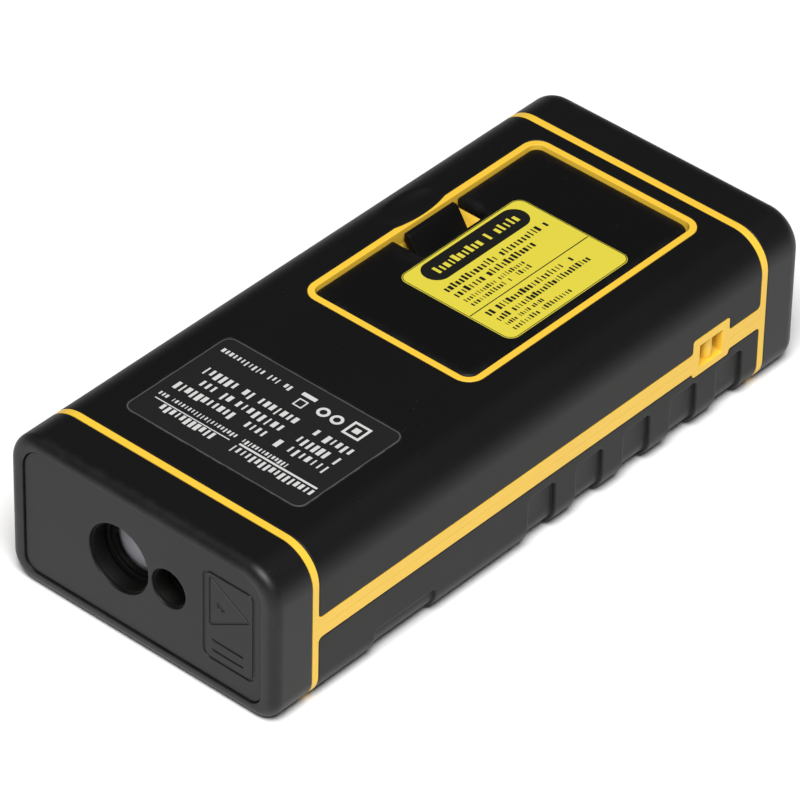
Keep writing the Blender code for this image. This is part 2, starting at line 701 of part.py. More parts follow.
def build_keypad():
    low = (-KEYPAD_OPENING_X - 2.0, KEYPAD_OPENING_Y[0] - 1.8, FRONT_WALL_INNER_Z + GAP)
    high = (KEYPAD_OPENING_X + 2.0, KEYPAD_OPENING_Y[1] + 1.6, FRONT_WALL_INNER_Z + 1.0)
    mat = rounded_box("keypad_mat", low, high, 1.5, segments=2)
    for key in KEYS:
        cut(mat, key_outline("key_opening", key, 0.3, (0.0, 8.0)))
    finish(mat, "keypad_mat", (0.05, 0.05, 0.055), 0.7)
    for key in KEYS:
        build_key(key)
    build_dome_sheet()


def build_dome_sheet():
    """The film under the circuit board, with one snap dome bulging from it above each key."""
    film_z = PCB_Z - GAP - 0.12
    low = (-KEYPAD_OPENING_X, KEYPAD_OPENING_Y[0], film_z)
    high = (KEYPAD_OPENING_X, KEYPAD_OPENING_Y[1], film_z + 0.12)
    sheet = box("dome_sheet", low, high)
    for _, column, row, _, _ in KEYS:
        centre = (column * KEY_COLUMN, KEY_ROWS[row], film_z - 0.05)
        dome = cylinder("dome", centre, 1.3, 0.2, sides=12, far_radius=2.2)
        join(sheet, dome)
    finish(sheet, "dome_sheet", STEEL, 0.3, 1.0)


def build_key(key):
    """One key: a rounded cap with its plunger above, sliding along Z."""
    name, column, row, _, _ = key
    web_z = FRONT_WALL_INNER_Z + 0.8
    cap = key_outline(name, key, 0.0, (KEY_TIP_Z, web_z))
    x = column * KEY_COLUMN
    y = KEY_ROWS[row]
    join(cap, cylinder("plunger", (x, y, web_z + 0.1), 1.5, 0.6, sides=12))
    finish(cap, name, (0.06, 0.06, 0.065), 0.65)
    set_origin(cap, (x, y, KEY_TIP_Z))


# ---------------------------------------------------------------- electronics

def build_board():
    low = (-21.0, -48.0, PCB_Z)
    high = (21.0, 47.5, PCB_Z + PCB_THICKNESS)
    board = rounded_box("main_board", low, high, 1.5, segments=2)
    for x, y in NOSE_SCREWS + TAIL_SCREWS:
        cut(board, cylinder("boss_hole", (x, y, PCB_Z), 2.9, 8.0, sides=20))
    for x, y in PCB_SCREWS + BENCH_SCREWS:
        cut(board, cylinder("screw_hole", (x, y, PCB_Z), 1.1, 8.0, sides=12))
    finish(board, "main_board", BOARD, 0.4)
    top = PCB_Z + PCB_THICKNESS + GAP
    chips = (
        ("processor_chip", (-4.0, 6.0), (10.0, 10.0, 1.2)),
        ("power_chip", (11.0, 24.0), (4.0, 5.0, 1.2)),
        ("oscillator_can", (6.5, -2.0), (3.2, 5.0, 1.2)),
    )
    for name, (x, y), (width, length, height) in chips:
        low = (x - width / 2, y - length / 2, top)
        chip = box(name, low, (x + width / 2, y + length / 2, top + height))
        colour = STEEL if name == "oscillator_can" else BLACK
        finish(chip, name, colour, 0.4, 1.0 if colour is STEEL else 0.0)
    coil = soft_box("power_coil", (8.0, 30.0, top), (14.0, 36.0, top + 2.8), 0.5)
    finish(coil, "power_coil", (0.03, 0.03, 0.03), 0.6)
    buzzer = cylinder("buzzer", (10.0, -15.0, top + 1.6), 4.6, 3.2, sides=24)
    cut(buzzer, cylinder("sound_hole", (10.0, -15.0, top + 3.2), 0.9, 1.2, sides=12))
    finish(buzzer, "buzzer", BLACK, 0.5)


def build_optical_bench():
    """Two parallel tubes, one for the receiver lens and one for the laser, on a plate."""
    bench = optics_hole("optical_bench", RECEIVER_X, 6.3, BENCH_Y)
    join(bench, optics_hole("laser_tube", LASER_X, 4.0, (BENCH_Y[0], -36.0), 24))
    join(bench, box("plate", (-21.0, -37.0, BENCH_PLATE_Z[0]), (21.0, -28.0, BENCH_PLATE_Z[1])))
    join(bench, box("keel", (-9.0, -50.0, BENCH_PLATE_Z[0]), (8.0, -30.0, 10.6)))
    cut(bench, optics_hole("lens_seat", RECEIVER_X, LENS_R + GAP, (-FAR, -53.8)))
    cut(bench, optics_hole("receiver_bore", RECEIVER_X, 4.3, (-FAR, FAR)))
    cut(bench, optics_hole("laser_bore", LASER_X, BARREL_R + GAP, (-FAR, -30.0), 24))
    for x, y in BENCH_SCREWS:
        cut(bench, cylinder("screw_hole", (x, y, BENCH_PLATE_Z[0]), 1.1, 8.0, sides=12))
    return finish(bench, "optical_bench", (0.05, 0.05, 0.055), 0.45, 0.0)


def turned(name, x, profile, sides=32):
    """A solid of revolution about the optical axis at x: (radius, y) pairs, nose end first.

    The profile is drawn in the XZ plane with its + end at the tail, then turned onto Y.
    """
    bm = bmesh.new()
    points = [bm.verts.new((radius, 0.0, -y)) for radius, y in profile]
    edges = [bm.edges.new(pair) for pair in zip(points, points[1:])]
    bmesh.ops.spin(bm, geom=points + edges, cent=(0, 0, 0), axis=(0, 0, 1),
                   angle=math.tau, steps=sides, use_merge=True)
    bmesh.ops.remove_doubles(bm, verts=bm.verts, dist=0.0005)
    bmesh.ops.rotate(bm, verts=bm.verts, cent=(0, 0, 0),
                     matrix=Matrix.Rotation(math.pi / 2, 3, "X"))
    bmesh.ops.translate(bm, verts=bm.verts, vec=(x, 0.0, OPTICS_Z))
    return object_from(bm, name)


def dome_profile(radius, y_front, y_back, bulge, steps=5):
    """A plano-convex lens: curved towards the nose, flat behind."""
    curve = []
    for index in range(steps + 1):
        share = index / steps
        curve.append((radius * share, y_front + bulge * share * share))
    return curve + [(radius, y_back), (0.0, y_back)]


def build_optics():
    lens = turned("receiver_lens", RECEIVER_X, dome_profile(LENS_R, -56.1, -54.0, 0.9), 28)
    finish(lens, "receiver_lens", (0.75, 0.8, 0.82), 0.05)
    ring = optics_hole("lens_ring", RECEIVER_X, LENS_R, (-56.65, -55.55), 28)
    cut(ring, optics_hole("ring_hole", RECEIVER_X, LENS_RING_R, (-FAR, 0.0), 28))
    cut(ring, turned("lens_room", RECEIVER_X,
                     dome_profile(LENS_R + 0.4, -56.1 - GAP, -54.0, 0.9), 28))
    finish(ring, "lens_ring", BLACK, 0.5)
    barrel = optics_hole("laser_barrel", LASER_X, BARREL_R, (-56.2, -38.0), 24)
    cut(barrel, optics_hole("laser_exit", LASER_X, 1.3, (-FAR, -50.0), 20))
    cut(barrel, optics_hole("barrel_bore", LASER_X, 2.1, (-55.2, 0.0), 20))
    finish(barrel, "laser_barrel", (0.75, 0.55, 0.2), 0.3, 1.0)
    profile = dome_profile(1.85, -54.6, -53.2, 0.4, 3)
    finish(turned("collimator_lens", LASER_X, profile, 20), "collimator_lens",
           (0.8, 0.7, 0.7), 0.05)
    diode = optics_hole("laser_diode", LASER_X, 1.85, (-42.0, -37.0), 20)
    join(diode, optics_hole("diode_flange", LASER_X, 2.6, (-37.7, -36.6), 20))
    finish(diode, "laser_diode", GOLD, 0.3, 1.0)
    low = (RECEIVER_X - 6.0, BENCH_Y[1] + GAP, 8.2)
    board = box("receiver_board", low, (RECEIVER_X + 6.0, BENCH_Y[1] + 1.2, 20.8))
    finish(board, "receiver_board", BOARD, 0.4)
    sensor = optics_hole("photodiode", RECEIVER_X, 2.7, (-30.5, BENCH_Y[1]), 20)
    finish(sensor, "photodiode", GOLD, 0.3, 1.0)
    low = (RECEIVER_X - 5.0, BENCH_Y[1] + 1.4, 9.4)
    can = soft_box("shield_can", low, (RECEIVER_X + 5.0, BENCH_Y[1] + 4.6, 19.6), 0.4, 1)
    finish(can, "shield_can", STEEL, 0.3, 1.0)


# ---------------------------------------------------------------- power

def build_cell(name, x, direction):
    """One cell with its positive nub towards the direction's end of the bay."""
    middle = (BAY_Y[0] + BAY_Y[1]) / 2
    nub_end = middle + direction * (BAY_Y[1] - BAY_Y[0]) / 2 - direction * 0.85
    can_end = nub_end - direction * NUB_LENGTH
    tail = can_end - direction * CELL_LENGTH
    can_y = (can_end + tail) / 2
    cell = cylinder(name, (x, can_y, CELL_Z), CELL_R, CELL_LENGTH, "Y", 24)
    nub_y = (nub_end + can_end - direction * 1.0) / 2
    join(cell, cylinder("nub", (x, nub_y, CELL_Z), NUB_R, NUB_LENGTH + 1.0, "Y", 16))
    finish(cell, name, (0.55, 0.12, 0.05), 0.3, 0.3)
    return tail


def contact_plate(name, x_range, end):
    wall = BAY_Y[0] if end < 0 else BAY_Y[1]
    near = wall - end * GAP
    far = near - end * CONTACT_THICKNESS
    low = (x_range[0], min(near, far), CELL_Z - 4.2)
    high = (x_range[1], max(near, far), CELL_Z + 4.2)
    finish(box(name, low, high), name, STEEL, 0.25, 1.0)
    return far


def contact_spring(name, x, cell_y, plate_y):
    """A conical coil between a contact plate and a cell's flat end."""
    turns = 3.5
    steps = 10
    wire = 0.3
    clear = wire + GAP
    start = plate_y + math.copysign(clear, cell_y - plate_y)
    stop = cell_y - math.copysign(clear, cell_y - plate_y)
    curve = bpy.data.curves.new(name, "CURVE")
    curve.dimensions = "3D"
    curve.bevel_depth = wire * MM
    curve.bevel_resolution = 1
    curve.use_fill_caps = True
    line = curve.splines.new("POLY")
    count = int(turns * steps)
    line.points.add(count)
    for index in range(count + 1):
        share = index / count
        angle = share * turns * math.tau
        radius = 3.4 - 1.6 * share
        point = (x + radius * math.cos(angle), start + (stop - start) * share,
                 CELL_Z + radius * math.sin(angle))
        line.points[index].co = (*(Vector(point) * MM), 1.0)
    drawn = bpy.data.objects.new(name, curve)
    bpy.context.scene.collection.objects.link(drawn)
    depsgraph = bpy.context.evaluated_depsgraph_get()
    mesh = bpy.data.meshes.new_from_object(drawn.evaluated_get(depsgraph))
    bm = bmesh.new()
    bm.from_mesh(mesh)
    bmesh.ops.remove_doubles(bm, verts=bm.verts, dist=0.000001)
    bmesh.ops.recalc_face_normals(bm, faces=bm.faces)
    bm.to_mesh(mesh)
    bm.free()
    coil = bpy.data.objects.new(name, mesh)
    bpy.context.scene.collection.objects.link(coil)
    bpy.data.objects.remove(drawn, do_unlink=True)
    finish(coil, name, STEEL, 0.25, 1.0)


def build_power():
    tail_a = build_cell("battery_cell_a", -CELL_X, -1)
    tail_b = build_cell("battery_cell_b", CELL_X, 1)
    bridge_y = contact_plate("contact_bridge", (-10.2, 10.2), 1)
    contact_plate("contact_positive", (-10.2, -1.2), -1)
    negative_y = contact_plate("contact_negative", (1.2, 10.2), -1)
    contact_spring("spring_bridge", -CELL_X, tail_a, bridge_y)
    contact_spring("spring_negative", CELL_X, tail_b, negative_y)


# ---------------------------------------------------------------- battery door

def build_door():
    bm = cube_between((-DOOR_X, DOOR_Y[0], DOOR_TOP_Z - DOOR_THICKNESS),
                      (DOOR_X, DOOR_Y[1], DOOR_TOP_Z))
    bevel(bm, edges_along(bm, 2, lambda m: m.x > 0), DOOR_HINGE_CORNER_R, 4)
    bevel(bm, edges_along(bm, 2, lambda m: m.x < 0), DOOR_R - SMALL_GAP, 4)
    door = object_from(bm, "battery_door")
    low = (-FAR, NOTCH_Y[0], 0.0)
    cut(door, box("latch_notch", low, (NOTCH_INNER_X, NOTCH_Y[1], FAR)))
    low = (NOTCH_INNER_X, LATCH_Y[0] - 1.0, SKIRT_LOW_Z)
    high = (NOTCH_INNER_X + 0.7, LATCH_Y[1] + 1.0, DOOR_TOP_Z - 0.5)
    join(door, box("latch_skirt", low, high))
    for near, far in HOOK_Y:
        low = (DOOR_X - HOOK_REACH, near, DOOR_TOP_Z - DOOR_THICKNESS)
        join(door, box("hook", low, (FRAME_X - 0.1, far, DOOR_TOP_Z - 0.95)))
    low = (CAUTION_X[0] - SMALL_GAP, CAUTION_Y[0] - SMALL_GAP, DOOR_TOP_Z - LABEL_RECESS)
    high = (CAUTION_X[1] + SMALL_GAP, CAUTION_Y[1] + SMALL_GAP, FAR)
    cut(door, rounded_box("label_recess", low, high, LABEL_R + SMALL_GAP))
    finish(door, "battery_door", BLACK, 0.5)
    set_origin(door, DOOR_HINGE)


def build_latch():
    """A spring tongue: a foot at the bottom and a leg leaning out to a finger rim."""
    outline = (
        (LATCH_OUTER_X, LATCH_TOP_Z),
        (LATCH_OUTER_X, LATCH_CATCH_Z),
        (LATCH_FOOT_X[0], LATCH_FOOT_Z[0]),
        (LATCH_FOOT_X[1], LATCH_FOOT_Z[0]),
        (LATCH_FOOT_X[1], LATCH_FOOT_Z[1]),
        (LATCH_FOOT_X[1] - 1.0, LATCH_FOOT_Z[1]),
        (LATCH_RIM_X, LATCH_TOP_Z - 0.3),
        (LATCH_RIM_X - 0.3, LATCH_TOP_Z),
    )
    latch = prism("door_latch", outline, LATCH_Y)
    finish(latch, "door_latch", BLACK, 0.5)
    set_origin(latch, LATCH_HINGE)


def build_labels():
    low = (SPEC_LABEL_X[0], SPEC_LABEL_Y[0], THICKNESS - 0.05 - LABEL_THICKNESS)
    high = (SPEC_LABEL_X[1], SPEC_LABEL_Y[1], THICKNESS - 0.05)
    finish(rounded_box("spec_label", low, high, LABEL_R), "spec_label", (0.02, 0.02, 0.022), 0.3)
    low = (CAUTION_X[0], CAUTION_Y[0], DOOR_TOP_Z - LABEL_THICKNESS)
    high = (CAUTION_X[1], CAUTION_Y[1], DOOR_TOP_Z)
    label = rounded_box("caution_label", low, high, LABEL_R)
    finish(label, "caution_label", (0.8, 0.74, 0.1), 0.35)


# ---------------------------------------------------------------- screws

def screw(point, head_z, length):
    """A pan head screw pointing down, its head resting just above head_z."""
    x, y = point
    seat = head_z + GAP
    head = cylinder("screw", (x, y, seat + SCREW_HEAD_HEIGHT / 2), SCREW_HEAD_R,
                    SCREW_HEAD_HEIGHT, sides=16, far_radius=SCREW_HEAD_R * 0.85)
    join(head, cylinder("shank", (x, y, seat - length / 2 + 0.3), SCREW_SHANK_R, length + 0.6,
                        sides=12))
    cut(head, box("slot_x", (x - 1.0, y - 0.22, seat + 0.7), (x + 1.0, y + 0.22, FAR)))
    cut(head, box("slot_y", (x - 0.22, y - 1.0, seat + 0.7), (x + 0.22, y + 1.0, FAR)))
    return head


def build_screws():
    rows = (
        ("case_screw_nose", NOSE_SCREWS, NOSE_HEAD_Z, 12.0),
        ("case_screw_tail", TAIL_SCREWS, TAIL_HEAD_Z, 13.0),
        ("board_screw", PCB_SCREWS, PCB_Z + PCB_THICKNESS, 3.0),
        ("bench_screw", BENCH_SCREWS, BENCH_PLATE_Z[1], 4.6),
    )
    for stem, points, head_z, length in rows:
        for side, point in zip(("left", "right"), points):
            name = f"{stem}_{side}"
            finish(screw(point, head_z, length), name, STEEL, 0.35, 1.0)


def build_shells():
    core = yellow_core()
    build_rear_shell(core)
    build_front_shell(core)
    bpy.data.objects.remove(core, do_unlink=True)


clear_scene()
MODEL = new_collection("laser_distance_meter")
build_shells()
build_back_overmould()
build_grip(1)
build_grip(-1)
build_nose_bumper()
build_tail_bumper()
build_nose_panel()
build_fascia()
build_display()
build_keypad()
build_board()
build_optical_bench()
build_optics()
build_power()
build_door()
build_latch()
build_labels()
build_screws()
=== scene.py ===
"""Laser distance meter: the finished look of every piece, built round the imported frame.

Lengths in the geometry functions are millimetres, in the frame's own axes: X across the
width, Y from nose to tail, Z up out of the back. Meshes are turned into metres when made.
"""
import math

import bmesh
import bpy
import numpy as np
from bpy.props import FloatProperty, FloatVectorProperty, IntProperty, PointerProperty
from mathutils import Matrix, Vector
from mathutils.geometry import delaunay_2d_cdt


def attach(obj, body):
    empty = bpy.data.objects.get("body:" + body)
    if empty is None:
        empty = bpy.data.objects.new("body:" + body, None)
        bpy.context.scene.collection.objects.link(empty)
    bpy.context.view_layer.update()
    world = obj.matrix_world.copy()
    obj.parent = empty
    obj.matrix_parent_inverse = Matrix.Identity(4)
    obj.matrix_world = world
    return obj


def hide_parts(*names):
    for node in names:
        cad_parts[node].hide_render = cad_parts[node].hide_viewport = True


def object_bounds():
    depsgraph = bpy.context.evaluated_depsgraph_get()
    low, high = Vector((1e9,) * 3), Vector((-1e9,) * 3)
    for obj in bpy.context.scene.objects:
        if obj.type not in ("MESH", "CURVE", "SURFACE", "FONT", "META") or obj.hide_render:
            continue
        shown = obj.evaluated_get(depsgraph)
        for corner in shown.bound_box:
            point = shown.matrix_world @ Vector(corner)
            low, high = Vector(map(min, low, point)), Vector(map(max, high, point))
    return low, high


bl_info = {
    "name": "Laser Distance Meter",
    "version": (1, 0, 0),
    "blender": (4, 5, 0),
    "location": "View3D > Sidebar > Meter",
    "description": "Builds a hand-held laser distance meter round its packed frame",
    "category": "Add Mesh",
}

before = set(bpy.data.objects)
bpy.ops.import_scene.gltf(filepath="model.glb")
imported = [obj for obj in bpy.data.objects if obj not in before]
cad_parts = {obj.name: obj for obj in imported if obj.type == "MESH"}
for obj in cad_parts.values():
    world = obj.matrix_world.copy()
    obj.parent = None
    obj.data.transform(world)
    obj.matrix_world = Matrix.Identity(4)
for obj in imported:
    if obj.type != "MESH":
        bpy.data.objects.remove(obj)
CAD_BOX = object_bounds()

MM = 0.001
HOUSING = "housing"

# The outer body's section
HALF_WIDTH = round(CAD_BOX[1].x / MM, 3)
HALF_LENGTH = round(CAD_BOX[1].y / MM, 3)
THICKNESS = round(CAD_BOX[1].z / MM, 3)
BACK_R = 6.3
FRONT_R = 4.5
FLAT_S = HALF_WIDTH - BACK_R
BACK_ARC = BACK_R * math.pi / 2
SIDE_WALL = THICKNESS - BACK_R - FRONT_R
FRONT_ARC = FRONT_R * math.pi / 2
GIRTH = FLAT_S + BACK_ARC + SIDE_WALL + FRONT_ARC + HALF_WIDTH - FRONT_R

# Yellow lines
NOSE_RING_Y = -51.85
TAIL_RING_Y = 51.21
RING_HALF = 0.65
STRIP_Z = (11.8, 15.6)
PARTING_Z = 13.76
JUNCTION_R = 0.8
LANYARD_Y = (34.3, 43.0)
LANYARD_Z = (10.9, 18.1)
POCKET_Y = (35.8, 41.3)
POCKET_Z = (12.2, 16.6)
FRAME_X = 17.3
FRAME_Y = (-7.15, 47.85)
FRAME_R = 3.0
FRAME_LINE = 1.15
LEDGE_Z = 25.6
BITE_X = -16.5
BITE_R = 21.8

# Finger scoop: a hollow sunk below a lifted centre, and the area with a finer grid
SCOOP_S = -19.5
SCOOP_Y = 20.5
SCOOP_HALF = (3.9, 7.6)
SCOOP_SPHERE = 1.9
SCOOP_LIFT = 1.2
SCOOP_AREA = ((-24.0, -15.5), (12.5, 28.5))

# Door and latch
DOOR_TOP = 27.6
DOOR_X = 16.03
DOOR_Y = (-5.88, 46.58)
NOTCH_X = -9.9
NOTCH_Y = (12.8, 27.8)
LATCH_Y = (14.9, 26.2)
DOOR_UNDER = 25.9
DOOR_LIP = ((0.0, 0.45, 0.6), (0.1, 0.30, 0.6), (0.3, 0.25, 0.3), (0.48, 0.22, 0.2),
            (0.60, 0.12, 0.7), (0.67, 0.02, 1.0), (0.72, 0.0, 0.5))
SKIRT_Z = (24.6, 27.1)
SKIRT_Y = (13.9, 27.2)
HOOK_X = (15.03, 17.2)
HOOK_Y = ((2.0, 7.0), (34.0, 39.0))
HOOK_TOP = 26.65
LATCH_OUTLINE = ((-15.6, 27.9, 0.25), (-15.6, 26.4, 0.15), (-12.9, 22.9, 0.4),
                 (-10.9, 22.9, 0.15), (-10.9, 23.8, 0.15), (-11.9, 23.8, 0.5),
                 (-14.4, 27.6, 0.2), (-14.7, 27.9, 0.15))

# Labels
SPEC_X = (-17.7, 18.2)
SPEC_Y = (-46.0, -22.4)
CAUTION_X = (-9.1, 14.15)
CAUTION_Y = (5.9, 34.3)
LABEL_R = 1.8
LABEL_BED = 0.25
NOTE_BED = 0.22
PRINT_LIFT = 0.012
NOTE_SHIFT = (-0.42, 0.48)

# Print: rows as (y, y, x spans...) on the dark label and (x, x, y, y) on the note
LARGE_ROWS = (
    (-42.8, -41.2, (-13.0, -3.0), (1.3, 16.7)), (-37.5, -35.7, (-15.0, 2.3), (5.4, 14.6)),
    (-34.8, -33.0, (-12.5, -7.0), (-5.2, 3.2), (6.0, 14.6)),
    (-32.0, -30.2, (-14.2, -5.2), (-3.2, 3.6), (7.9, 14.6)))
SMALL_ROWS = ((-40.2, -39.2, (-15.6, -0.4), (1.3, 9.8)), (-26.4, -25.2, (-15.7, -2.2)))
NOTE_ROWS = ((-1.8, -0.4, 8.3, 31.3), (0.2, 1.6, 8.3, 26.0), (6.9, 8.2, 8.2, 27.2),
             (8.9, 10.1, 8.2, 29.0))
NOTE_SMALL_ROWS = ((2.4, 3.3, 8.3, 21.5), (3.7, 4.7, 8.3, 21.5), (10.8, 11.6, 8.2, 16.4),
                   (12.2, 13.2, 8.2, 21.0))
LABEL_SIGNS = (
    (((-15.5, -0.4), (-41.0, -40.8), 0.02), None),
    (((1.3, 16.8), (-40.8, -40.4), 0.05), None),
    (((10.3, 13.7), (-28.3, -24.9), 0.1), ((10.75, 13.25), (-27.85, -25.35), 0.1)),
    (((11.4, 12.6), (-27.2, -26.0), 0.1), None),
    (((0.0, 2.8), (-25.7, -24.9), 0.1), None),
    (((0.5, 2.3), (-28.3, -26.4), 0.1), ((0.75, 2.05), (-28.05, -26.65), 0.1)))

# Display side
FASCIA_Z = 1.0
FASCIA_X = (-20.0, 20.0)
FASCIA_Y = (-51.0, 50.36)
WINDOW_X = 16.8
WINDOW_Y = (-44.5, -8.5)
SIGHT = ((-12.4, 12.4), (-43.2, -11.2), 0.8)
GLASS = ((-12.1, 12.1), (-43.0, -10.0), 0.2)
GLASS_Z = 2.75
DISPLAY_ROWS = ((-40.0, 1.6), (-34.0, 3.4), (-27.0, 3.4), (-19.0, 4.8))
DISPLAY_HALF = 9.5
KEY_COLUMN = 11.8
KEY_ROWS = (4.5, 18.0, 30.5)
KEY_TIP_Z = 0.4
KEY_BASE_Z = 4.95
KEY_EDGE_R = 0.75
PLUNGER = ((1.5, 4.6), (1.5, 5.3), (1.4, 5.4))
KEYS = (
    ("key_plus", -1, 0, 8.0, 7.0), ("key_measure", 0, 0, 12.0, 10.0),
    ("key_minus", 1, 0, 8.0, 7.0), ("key_area", -1, 1, 8.6, 6.6),
    ("key_function", 0, 1, 8.6, 6.6), ("key_reference", 1, 1, 8.6, 6.6),
    ("key_unit", -1, 2, 8.6, 6.6), ("key_memory", 0, 2, 8.6, 6.6),
    ("key_power", 1, 2, 8.6, 6.6),
)

# Cells: name, X, flat end, shoulder, nub's tip and finish, with the sizes of both
CELL_R = 5.25
CELL_Z = 20.35
CELL_SIDES = 72
CELLS = (("power_cell_a", -5.6, 40.75, -2.95, -3.75, "cell_a"),
         ("power_cell_b", 5.6, 1.05, 44.75, 45.55, "cell_b"))

# Nose
NOSE_FACE = -HALF_LENGTH + 0.3
PANEL_X = 24.0
PANEL_Z = (2.5, 26.0)
OPTICS_Z = 14.57
RECEIVER_X = -4.71
LASER_X = 5.41
APERTURES = ((RECEIVER_X, 6.0), (LASER_X, 3.4))
BORE_END_Y = -57.3
SIGN_PLATE = ((12.3, 22.7), (6.1, 22.9), 1.5)
SIGN_CENTRE = (16.35, 17.2)
SIGN_REACH = 5.6
SIGN_DEEP = 0.14
BAR_X = (14.2, 20.4)
BAR_ROWS = (8.1, 10.0)
BAR_HALF = 0.24
BAR_DEEP = 0.15
LENS_RING = ((4.2, -56.5), (4.28, -56.62), (4.92, -56.62), (4.98, -56.55), (4.98, -55.65),
             (4.75, -55.65), (4.2, -56.0))
BARREL = ((1.3, -56.05), (1.45, -56.2), (2.75, -56.2), (2.93, -56.05), (2.93, -38.1),
          (2.1, -38.1), (2.1, -55.2), (1.3, -55.2))

# View: focal length and width in the same units, angles in radians, places in mm
VIEW_FOCAL = 6413.3977
VIEW_WIDTH = 800.0
VIEW_AZIMUTH = 0.7145
VIEW_ELEVATION = 0.6677
VIEW_ROLL = -0.0216
VIEW_SHIFT = (-1.7236, 6.4844, 985.2009)
VIEW_TARGET = (0.0, -0.32, 4.06)
SENSOR = 36.0

# Light: heading and height as angles in radians, sizes in metres
KEY_DIRECTION = (0.71, 1.08)
LAMP_DISTANCE = 2.2
LAMP_WIDTH = 1.3
FLOOR_REACH = 2.5
FLOOR_DROP = 0.00002


# ------------------------------------------------------------------ settings

def length(name, description, default, low=0.00001):
    """A length setting in metres."""
    return FloatProperty(name=name, description=description, default=default, min=low,
                         unit="LENGTH")


def paint(name, description, default):
    """A colour setting."""
    return FloatVectorProperty(name=name, description=description, default=default,
                               subtype="COLOR", size=3, min=0.0, max=1.0)


class MeterSizes(bpy.types.PropertyGroup):
    """Small sizes that the eye reads at the edges of the skins."""
    seam: length("Seam", "Gap between two neighbouring outer pieces", 0.00005, 0.0)
    skin_edge: length("Skin Edge", "Radius of the rounded edge of a rubber skin", 0.00018)
    line_edge: length("Line Edge", "Radius of the rounded edge of a yellow line", 0.00010)
    nose_edge: length("Nose Edge", "Rounding of the nose guard's front edge", 0.0018, 0.0005)
    tail_edge: length("Tail Edge", "Rounding of the tail guard's end edge", 0.0029, 0.0005)
    pocket_depth: length("Pocket Depth", "Depth of the finger pockets", 0.00065, 0.0001)
    arc_steps: IntProperty(
        name="Corner Steps", description="Faces round each corner of the body's section",
        default=20, min=4, max=64)


class MeterColours(bpy.types.PropertyGroup):
    """Base colours of the finishes that show."""
    yellow: paint("Case Yellow", "Colour of the moulded case", (0.90, 0.56, 0.048))
    rubber: paint("Rubber Black", "Colour of the rubber skins", (0.0034, 0.0034, 0.0036))
    panel: paint("Panel Black", "Colour of the door and the nose panel",
                 (0.0034, 0.0034, 0.0036))
    caution: paint("Label Yellow", "Colour of the door's label", (0.72, 0.62, 0.058))
    ink: paint("White Ink", "Colour of the print on the dark label", (0.62, 0.62, 0.61))


class MeterStage(bpy.types.PropertyGroup):
    """Floor, light and background."""
    floor: paint("Floor", "Colour of the floor", (0.97, 0.97, 0.97))
    key_light: FloatProperty(
        name="Key Light", description="Power of the one large light", default=67.0, min=0.0,
        unit="POWER")
    sky: FloatProperty(
        name="Horizon", description="Strength of the background light near the horizon",
        default=0.18, min=0.0)
    ceiling: FloatProperty(
        name="Ceiling", description="Strength of the background light from above",
        default=0.02, min=0.0)


def sizes():
    """The sizes that the panel shows, in metres."""
    return bpy.context.scene.meter_sizes


def mm(value):
    """A length setting, held in metres, as millimetres."""
    return value / MM


# ------------------------------------------------------------------ surfaces

def body_surface(s, y, depth):
    """A point on the body: s runs round the section from the middle of the back, in mm."""
    side = 1.0 if s >= 0 else -1.0
    s = abs(s)
    if s <= FLAT_S:
        x, z, nx, nz = s, THICKNESS, 0.0, 1.0
    elif s <= FLAT_S + BACK_ARC:
        turn = (s - FLAT_S) / BACK_R
        nx, nz = math.sin(turn), math.cos(turn)
        x, z = FLAT_S + BACK_R * nx, THICKNESS - BACK_R + BACK_R * nz
    elif s <= FLAT_S + BACK_ARC + SIDE_WALL:
        nx, nz = 1.0, 0.0
        x, z = HALF_WIDTH, THICKNESS - BACK_R - (s - FLAT_S - BACK_ARC)
    elif s <= FLAT_S + BACK_ARC + SIDE_WALL + FRONT_ARC:
        turn = (s - FLAT_S - BACK_ARC - SIDE_WALL) / FRONT_R
        nx, nz = math.cos(turn), -math.sin(turn)
        x, z = HALF_WIDTH - FRONT_R + FRONT_R * nx, FRONT_R + FRONT_R * nz
    else:
        nx, nz = 0.0, -1.0
        x, z = GIRTH - s, 0.0
    return (side * (x - nx * depth), y, z - nz * depth)


def mirrored_surface(s, y, depth):
    """The same body with its left and right sides swapped."""
    x, y, z = body_surface(s, y, depth)
    return (-x, y, z)


def front_surface(t, y, depth):
    """The same body, with t running both ways from the middle of the display side."""
    x, y, z = body_surface(GIRTH - abs(t), y, depth)
    return (x if t >= 0 else -x, y, z)


def s_at(z):
    """The station round the section where the right side wall is at height z."""
    return FLAT_S + BACK_ARC + THICKNESS - BACK_R - z


def nose_surface(x, z, depth):
    """The flat face that the nose panel fills."""
    return (x, NOSE_FACE + depth, z)


def level(height, facing=1.0):
    """A flat face at a height, looking up (1) or down (-1)."""
    def surface(x, y, depth):
        return (x, y, height - facing * depth)
    return surface


# ------------------------------------------------------------------ shapes

def quarter(steps, first=0):
    """Pairs (1 - cos, 1 - sin) over a right angle: how a rounded edge leaves its two sides."""
    angles = [math.pi / 2 * k / steps for k in range(first, steps + 1)]
    return [(1 - math.cos(a), 1 - math.sin(a)) for a in angles]


def around(sides):
    """The angles of a regular polygon's corners."""
    return [math.tau * k / sides for k in range(sides)]


